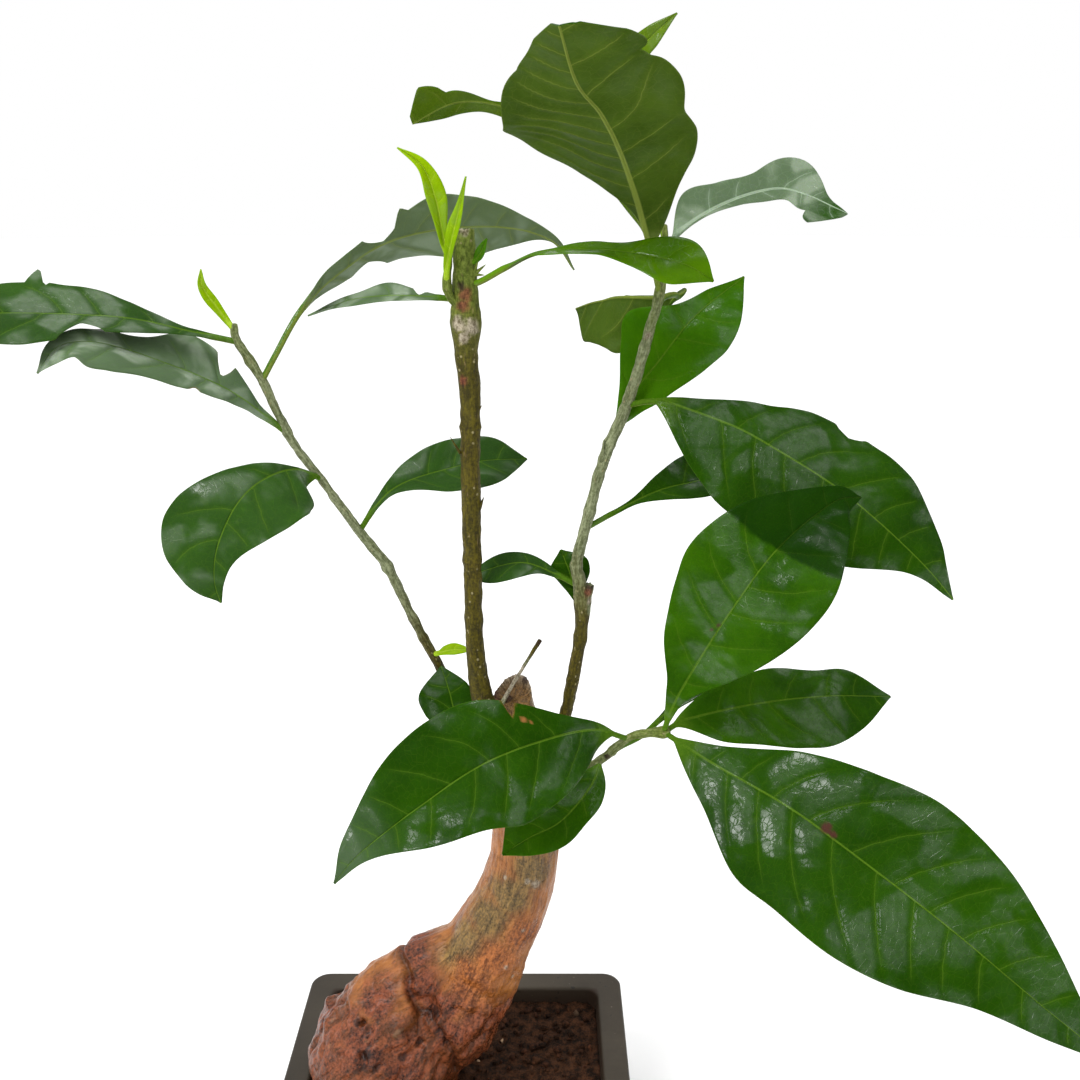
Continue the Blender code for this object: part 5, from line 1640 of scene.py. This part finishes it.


# The upper and the lower side of each kind of leaf. Some have grey sheen painted over the green, and one has
# a lower side painted lighter as if lit from behind
OLIVE_UNDER = LeafLook(
    srgb(38, 58, 7), srgb(64, 86, 22), srgb(120, 134, 56), 0.55, wet=0.12, raised=True, marked=0.55,
    rib_width=1.0,
)
DEEP_UPPER = LeafLook(srgb(17, 47, 0), srgb(34, 70, 0), srgb(86, 118, 28), 0.5, wet=0.8)
LIME_UNDER = LeafLook(
    srgb(104, 136, 6), srgb(136, 168, 16), srgb(156, 182, 56), 0.5, raised=True, marked=0.5,
)
PALE_VEIN = srgb(158, 176, 152)
LEAF_LOOKS = {
    "deep": (DEEP_UPPER, OLIVE_UNDER),
    "hazy": (DEEP_UPPER._replace(gleam=0.22, frost=(0.05, 0.05)), OLIVE_UNDER),
    "pale_tipped": (DEEP_UPPER._replace(frost=(0, 0.25)), OLIVE_UNDER),
    "white_backed": (
        DEEP_UPPER._replace(vein=PALE_VEIN, marked=0.65, rib_width=1.2, gleam=0.5, frost=(0.45, 0)),
        OLIVE_UNDER._replace(vein=PALE_VEIN, marked=0.65, gleam=0.5, frost=(0.45, 0)),
    ),
    "frosted": (
        DEEP_UPPER._replace(gleam=0.6, frost=(0.4, 0.4)),
        OLIVE_UNDER._replace(gleam=0.35, frost=(0.42, 0.42)),
    ),
    "fresh": (DEEP_UPPER._replace(dark=srgb(40, 84, 0), light=srgb(66, 114, 0)), OLIVE_UNDER),
    "mild": (DEEP_UPPER._replace(dark=srgb(22, 56, 0), light=srgb(50, 92, 0)), OLIVE_UNDER),
    "bright": (DEEP_UPPER._replace(dark=srgb(48, 86, 0), light=srgb(84, 126, 0)), OLIVE_UNDER),
    "pale_ribbed": (
        DEEP_UPPER,
        OLIVE_UNDER._replace(dark=srgb(42, 62, 9), light=srgb(68, 90, 24), marked=0.8, rib_width=1.35),
    ),
    "back_lit": (DEEP_UPPER, OLIVE_UNDER._replace(dark=srgb(52, 78, 4), light=srgb(76, 100, 14))),
    "young": (LeafLook(srgb(98, 134, 0), srgb(134, 168, 2), srgb(158, 184, 54), 0.45, wet=0.5), LIME_UNDER),
    "dim_lime": (
        LeafLook(srgb(62, 88, 4), srgb(92, 120, 18), srgb(124, 150, 50), 0.45, wet=0.5),
        LIME_UNDER._replace(dark=srgb(70, 96, 6), light=srgb(100, 128, 24)),
    ),
}


def leaf_lines(surface, rib_width):
    """How strongly each point shows the side veins, the midrib and the fine net, as lines and as troughs."""
    blade = surface.add("UVMap", uv_map="blade")
    place = surface.add("SeparateXYZ", {0: blade}).node
    across = surface.math("ABSOLUTE", surface.times(place.outputs[0], BLADE_UNIT))
    veins = surface.add("SeparateXYZ", {0: surface.add("UVMap", uv_map="veins")}).node
    number = surface.times(veins.outputs[0], VEIN_UNIT)
    gap = surface.times(veins.outputs[1], VEIN_UNIT)
    side, along, _ = surface.channels("zones")
    wander = surface.plus(surface.noise(surface.solid, scale=260.0, detail=2.0), -0.5)
    wandering = surface.plus(number, surface.times(wander, VEIN_WANDER))
    part = surface.plus(surface.math("FRACT", surface.plus(wandering, 0.5)), -0.5)
    between = surface.math("ABSOLUTE", part)
    away = surface.times(between, gap)
    shown = surface.times(surface.less(surface.step(side, *VEIN_END)), surface.step(number, *FIRST_VEIN))
    fine = surface.plus(surface.times(along, -RIB_NARROWING), 1.0)
    rib_away = surface.math("DIVIDE", across, fine)
    cells = surface.cells(surface.stretch(blade, NET_STRETCH), NET_SCALE, "DISTANCE_TO_EDGE")
    return {
        "line": surface.times(surface.less(surface.step(away, *VEIN_LINE)), shown),
        "trough": surface.times(surface.less(surface.step(away, *VEIN_TROUGH)), shown),
        "rib": surface.less(surface.step(rib_away, rib_width * RIB_CORE, rib_width)),
        "rib_trough": surface.less(surface.step(rib_away, *RIB_TROUGH)),
        "net": surface.less(surface.step(cells, *NET_LINE)),
        "bulge": surface.step(between, *BULGE),
        "rim": surface.step(side, *PALE_RIM),
    }


def leaf_colour(surface, look, lines, fleck, wet_and_painted_sheen):
    """Mottled green under painted grey sheen, strongest at the tip of some leaves, with its veins and rim,
    painted shade where another leaf shades it, and the blemishes over them.
    """
    brown, dry, pale = surface.channels("marks")
    _, along, blade = surface.channels("zones")
    shaded = surface.add("Attribute", output=AS_VALUE, attribute_name="shaded")
    mottle = surface.noise(surface.solid, scale=55.0, detail=4.0, roughness=0.6)
    blotch = surface.noise(surface.solid, scale=19.0, detail=2.0)
    shade = surface.total(
        (surface.step(mottle, low=0.3, high=0.7), 0.45),
        (fleck, 0.25),
        (surface.step(blotch, low=0.35, high=0.65), 0.35),
    )
    colour = surface.mix(shade, look.dark, look.light)
    # Grey sheen painted over the green: on the wet patches, over the whole side, and more at the tip on some
    # leaves
    body, tip = look.frost
    frost = surface.plus(surface.times(surface.step(along, *TIP_START), tip - body), body)
    colour = surface.mix(surface.plus(surface.times(wet_and_painted_sheen, look.gleam), frost), colour, PAINTED_SHEEN_GREY)
    thin = surface.math("MAXIMUM", lines["line"], surface.times(lines["rim"], 0.7))
    return surface.cover(
        colour,
        (lines["net"], 0.07, look.vein),
        (lines["trough"], 0.07, look.vein),
        (thin, look.marked * 0.4, look.vein),
        (lines["rib"], look.marked, look.vein),
        (surface.less(blade), 1.0, surface.mix(fleck, look.light, look.vein)),
        # shade painted where another leaf shades this one
        (shaded, 0.78, SHADED_GREEN),
        (pale, 1.0, PALE_FLECK),
        (dry, 1.0, surface.mix(fleck, DRY_DARK, DRY_LIGHT)),
        (brown, 0.9, ROT_BROWN),
    )


def leaf_relief(surface, look, lines, fleck):
    """Relief along the veins, raised or sunk, with the leaf's fine unevenness."""
    along_veins = surface.total(
        (lines["trough"], 0.6), (lines["line"], 0.4), (lines["rib_trough"], 0.5), (lines["net"], 0.14),
    )
    uneven = surface.noise(surface.solid, scale=420.0, detail=2.0)
    return surface.total((along_veins, 1.0 if look.raised else -1.0), (uneven, 0.5), (fleck, 0.06))


def leaf_finish(name, look):
    """A leaf side: mottled green, fine pale veins, patches of wet sheen partly painted into the colour, and
    relief along each vein.
    """
    surface = Surface(name)
    lines = leaf_lines(surface, look.rib_width)
    fleck = surface.noise(surface.solid, scale=900.0, detail=3.0, roughness=0.6)
    upright = surface.stretch(surface.solid, FILM_STRETCH)
    film = surface.noise(upright, scale=46.0, detail=3.0, distortion=0.6)
    # Patches that are glossier and get a coat, and where grey sheen is painted into the colour
    wet_and_painted_sheen = surface.times(surface.step(film, low=0.42, high=0.6), lines["bulge"])
    ripple = surface.step(surface.noise(surface.solid, scale=330.0, roughness=0.6), low=0.36, high=0.62)
    drops = surface.times(
        surface.step(film, low=0.5, high=0.58),
        surface.plus(surface.times(ripple, 0.6), 0.4),
    )
    drops = surface.times(drops, surface.plus(surface.times(lines["bulge"], 0.65), 0.35))
    relief = leaf_relief(surface, look, lines, fleck)
    surface.shader.inputs["Subsurface Radius"].default_value = LEAF_GLOW
    return surface.finish(
        Base_Color=leaf_colour(surface, look, lines, fleck, wet_and_painted_sheen),
        Roughness=surface.total((wet_and_painted_sheen, -0.12), (fleck, 0.1), (look.roughness, 1.0)),
        Normal=surface.bump(relief, LEAF_RELIEF), Specular_IOR_Level=LEAF_SPECULAR,
        Coat_Weight=surface.total((drops, look.wet * 0.75), (wet_and_painted_sheen, look.wet * 0.05)),
        Coat_Roughness=FILM_ROUGHNESS, Coat_Normal=surface.bump(relief, 2 * LEAF_RELIEF),
        Subsurface_Weight=0.08, Subsurface_Scale=0.0008,
    )


class BarkLook(NamedTuple):
    """Bark: its two base colours, a (dark, light) pair for each zone, and how it is built.

    streaks is how much patterns are drawn out along the grain, 1 for round ones and less for longer ones.
    wet is how much smoother the second zone is. relief is in millimetres. blend is half the span over which
    zones fade into each other, specular how strongly the bark mirrors light, and warts how strongly small
    pale warts show.
    """

    base: tuple
    deeper: tuple
    zones: tuple
    streaks: float
    roughness: float
    wet: float
    relief: float
    blend: float
    specular: float
    warts: float = 0


TRUNK_LOOK = BarkLook(
    base=srgb(174, 112, 56), deeper=srgb(126, 74, 32),
    zones=(
        (srgb(74, 60, 34), srgb(142, 112, 62)),
        (srgb(92, 46, 14), srgb(178, 106, 52)),
        (srgb(36, 15, 8), srgb(136, 72, 44)),
    ),
    streaks=0.2, roughness=0.3, wet=0.08, relief=0.45, blend=0.5, specular=0.26,
)
STEM_LOOK = BarkLook(
    base=srgb(90, 82, 32), deeper=srgb(58, 50, 14),
    zones=(
        (srgb(68, 82, 16), srgb(116, 130, 54)),
        (srgb(46, 41, 2), srgb(86, 77, 12)),
        (srgb(84, 92, 58), srgb(138, 144, 110)),
    ),
    streaks=0.25, roughness=0.6, wet=0.0, relief=0.24, blend=0.3, specular=0.16, warts=1.0,
)


def bark_colour(surface, look, streak, speck, cloud):
    """The base colours in streaks along the grain with the zone colours fading in, and how light it is."""
    blended = surface.total((streak, 0.6), (cloud, 0.4))
    colour = surface.mix(surface.step(blended, low=0.34, high=0.68), look.deeper, look.base)
    tone = surface.step(surface.total((streak, 0.5), (speck, 0.5)), low=0.38, high=0.64)
    ragged = surface.plus(surface.total((streak, 0.5), (cloud, 0.6)), -0.55)
    for weight, (low, high) in zip(surface.channels("zones"), look.zones):
        patch = surface.step(surface.plus(weight, ragged), 0.5 - look.blend, 0.5 + look.blend)
        colour = surface.mix(patch, colour, surface.mix(tone, low, high))
    return colour, tone


def bark_finish(name, look):
    """Bark with blemishes, fine cracks, painted glints in pale streaks, and ridges along the grain."""
    surface = Surface(name)
    grain = surface.add("Attribute", output=AS_VECTOR, attribute_name="grain")
    dark, red, pale = surface.channels("marks")
    _, second, _ = surface.channels("zones")
    long_grain = surface.stretch(grain, (1.0, 1.0, look.streaks))
    cloud = surface.noise(surface.solid, scale=110.0, detail=4.0, roughness=0.6)
    streak = surface.noise(long_grain, scale=520.0, detail=4.0, roughness=0.65, distortion=0.4)
    fibre = surface.noise(long_grain, scale=1500.0, detail=3.0, roughness=0.6)
    speck = surface.noise(surface.solid, scale=900.0, detail=4.0, roughness=0.65)
    cracks = surface.less(surface.step(fibre, low=0.34, high=0.46))
    # Glints painted on as pale streaks along the grain
    painted_glints = surface.step(surface.noise(long_grain, scale=800.0, detail=2.0), low=0.64, high=0.78)
    spot = surface.less(surface.step(surface.cells(grain, scale=330.0), low=0.1, high=0.24))
    chance = surface.step(surface.noise(surface.solid, scale=170.0, detail=2.0), low=0.46, high=0.56)
    wart = surface.times(spot, surface.times(chance, look.warts))
    colour, tone = bark_colour(surface, look, streak, speck, cloud)
    colour = surface.cover(colour, (painted_glints, 0.3, surface.mix(0.5, colour, PAINTED_BARK_GLINT)))
    colour = surface.cover(
        colour,
        (cracks, 0.55, surface.mix(0.6, colour, BARK_CRACK)),
        (wart, 0.75, WART_PALE),
        (red, 0.85, surface.mix(tone, *WOUND_RED)),
        (pale, 0.75, surface.mix(tone, *SCAR_PALE)),
        # dark spots, and the shade painted into the trunk's creases and pits
        (dark, 0.85, surface.mix(tone, *DARK_SPOT_AND_PAINTED_SHADE)),
    )
    rough = surface.total((speck, 0.25), (second, -look.wet), (look.roughness - 0.12, 1.0))
    height = surface.total((streak, 0.9), (fibre, 0.5), (speck, 0.5), (cracks, -0.35), (wart, 0.8))
    return surface.finish(
        Base_Color=colour, Roughness=rough, Normal=surface.bump(height, look.relief),
        Specular_IOR_Level=look.specular,
    )


def soil_finish():
    """Damp soil: near black between the crumbs, reddish brown crumbs, fine grit and a few pale stones."""
    surface = Surface("damp_soil")
    kind, tint, _ = surface.channels("zones")
    grit = surface.noise(surface.solid, scale=1400.0, detail=4.0, roughness=0.7)
    clump = surface.noise(surface.solid, scale=260.0, detail=3.0, roughness=0.6)
    shade = surface.step(surface.total((grit, 0.5), (clump, 0.5)), low=0.38, high=0.66)
    crumb = surface.mix(shade, CRUMB_DARK, surface.mix(tint, *CRUMB_LIGHT))
    colour = surface.cover(
        surface.mix(shade, *SOIL_GROUND),
        (surface.step(kind, low=0.05, high=0.9), 1.0, crumb),
        (surface.step(kind, low=0.985, high=0.99), 1.0, STONE_PALE),
    )
    return surface.finish(
        Base_Color=colour, Roughness=surface.plus(surface.times(grit, 0.3), 0.6),
        Normal=surface.bump(surface.total((grit, 0.6), (clump, 1.0)), SOIL_RELIEF),
        Specular_IOR_Level=0.1,
    )


def pot_finish():
    """The pot: matte taupe plastic with a fine grain, darker inside, with shade painted on its left, damp
    and dusty.
    """
    surface = Surface("matte_taupe")
    place = surface.add("SeparateXYZ", {0: surface.solid}).node
    cloud = surface.noise(surface.solid, scale=26.0, detail=5.0, roughness=0.6)
    grain = surface.noise(surface.solid, scale=2600.0, detail=2.0, roughness=0.6)
    level = surface.stretch(surface.solid, SCUFF_STRETCH)
    scuff = surface.noise(level, scale=420.0, detail=4.0, roughness=0.7)
    damp = surface.step(surface.noise(surface.solid, scale=210.0, detail=2.0), low=0.68, high=0.71)
    dust = surface.noise(surface.solid, scale=640.0, detail=2.0, roughness=0.6)
    inside = 1.0
    for axis, size in enumerate((POT_WIDTH, POT_DEPTH)):
        out = surface.math("ABSOLUTE", place.outputs[axis])
        edges = [(size / 2 - RIM_WIDTH + side * POT_INSIDE_EDGE) * MM for side in (-1, 1)]
        inside = surface.times(surface.less(surface.step(out, *edges)), inside)
    # Shade painted on the pot's left side, fading out to the right
    left = surface.less(surface.step(place.outputs[0], *(edge * MM for edge in POT_PAINTED_SHADE_SPAN)))
    colour = surface.cover(
        surface.mix(surface.step(cloud, low=0.3, high=0.7), *POT_TAUPE),
        (scuff, 0.2, POT_SCUFF),
        (inside, 0.9, POT_INSIDE),
        (left, 0.4, POT_SHADE),
        (damp, 0.75, POT_DAMP),
        (surface.step(dust, low=0.72, high=0.78), 0.3, POT_DUST),
    )
    return surface.finish(
        Base_Color=colour, Roughness=surface.total((grain, 0.18), (damp, -0.2), (0.42, 1.0)),
        Normal=surface.bump(surface.total((grain, 0.5), (scuff, 0.5)), POT_RELIEF),
        Specular_IOR_Level=0.22,
    )


def floor_finish():
    surface = Surface("studio_floor")
    return surface.finish(Base_Color=FLOOR_WHITE, Roughness=0.9, Specular_IOR_Level=0.1)


def add_floor(finish):
    shape = bmesh.new()
    bmesh.ops.create_circle(shape, cap_ends=True, segments=FLOOR_SIDES, radius=FLOOR_RADIUS)
    floor = shape_object("studio_floor", shape)
    floor.data.materials.append(finish)
    floor.location.z = -FLOOR_DROP


def add_sky():
    """Soft light from all round, brightest overhead, against white."""
    world = bpy.data.worlds.new("soft_sky")
    world.use_nodes = True
    tree = world.node_tree
    background = tree.nodes["Background"]
    coordinates = tree.nodes.new("ShaderNodeTexCoord")
    split = tree.nodes.new("ShaderNodeSeparateXYZ")
    height = tree.nodes.new("ShaderNodeMapRange")
    path = tree.nodes.new("ShaderNodeLightPath")
    white = tree.nodes.new("ShaderNodeMix")
    tree.links.new(coordinates.outputs["Generated"], split.inputs[0])
    tree.links.new(split.outputs[2], height.inputs["Value"])
    height.inputs["From Min"].default_value = 0.0
    height.inputs["From Max"].default_value = 1.0
    height.inputs["To Min"].default_value = SKY_LOW
    height.inputs["To Max"].default_value = SKY_HIGH
    tree.links.new(path.outputs["Is Camera Ray"], white.inputs[0])
    tree.links.new(height.outputs[0], white.inputs[2])
    white.inputs[3].default_value = 1.0
    tree.links.new(white.outputs[0], background.inputs["Strength"])
    background.inputs["Color"].default_value = (1.0, 1.0, 1.0, 1.0)
    bpy.context.scene.world = world


def add_lamp(name, place, target, size, power):
    light = bpy.data.lights.new(name, "AREA")
    light.shape = "RECTANGLE"
    light.size, light.size_y = size
    light.energy = power
    lamp = link_object(name, light)
    lamp.location = place
    lamp.rotation_euler = (Vector(target) - Vector(place)).to_track_quat("-Z", "Y").to_euler()


def add_camera():
    data = bpy.data.cameras.new("camera")
    data.lens = CAMERA_LENS
    data.sensor_width = CAMERA_SENSOR
    data.clip_start = CAMERA_NEAREST
    camera = link_object("camera", data)
    camera.location = Vector(CAMERA_PLACE) * MM
    camera.rotation_euler = (math.radians(90) - CAMERA_TILT, 0, 0)
    bpy.context.scene.camera = camera


def leaf_finishes():
    """The upper and the lower finish of each kind of leaf."""
    made = {}
    for kind, (upper, under) in LEAF_LOOKS.items():
        made[kind] = leaf_finish("leaf_upper_" + kind, upper), leaf_finish("leaf_under_" + kind, under)
    return made


def main():
    add_camera()
    add_sky()
    for name, lamp in LAMPS.items():
        add_lamp(name, *lamp)
    add_floor(floor_finish())
    bpy.context.scene.view_settings.view_transform = "Standard"
    add_pot(pot_finish())
    add_soil(soil_finish())
    add_trunk(bark_finish("trunk_skin", TRUNK_LOOK))
    stem_skin = bark_finish("stem_skin", STEM_LOOK)
    for stem in STEMS:
        add_stem(stem, stem_skin)
    finishes = leaf_finishes()
    for leaf in map(rooted, LEAVES):
        kind = LEAF_KINDS.get(leaf.name, "young" if leaf.colour == "leaf_lime" else "deep")
        add_leaf(leaf, *finishes[kind])


main()
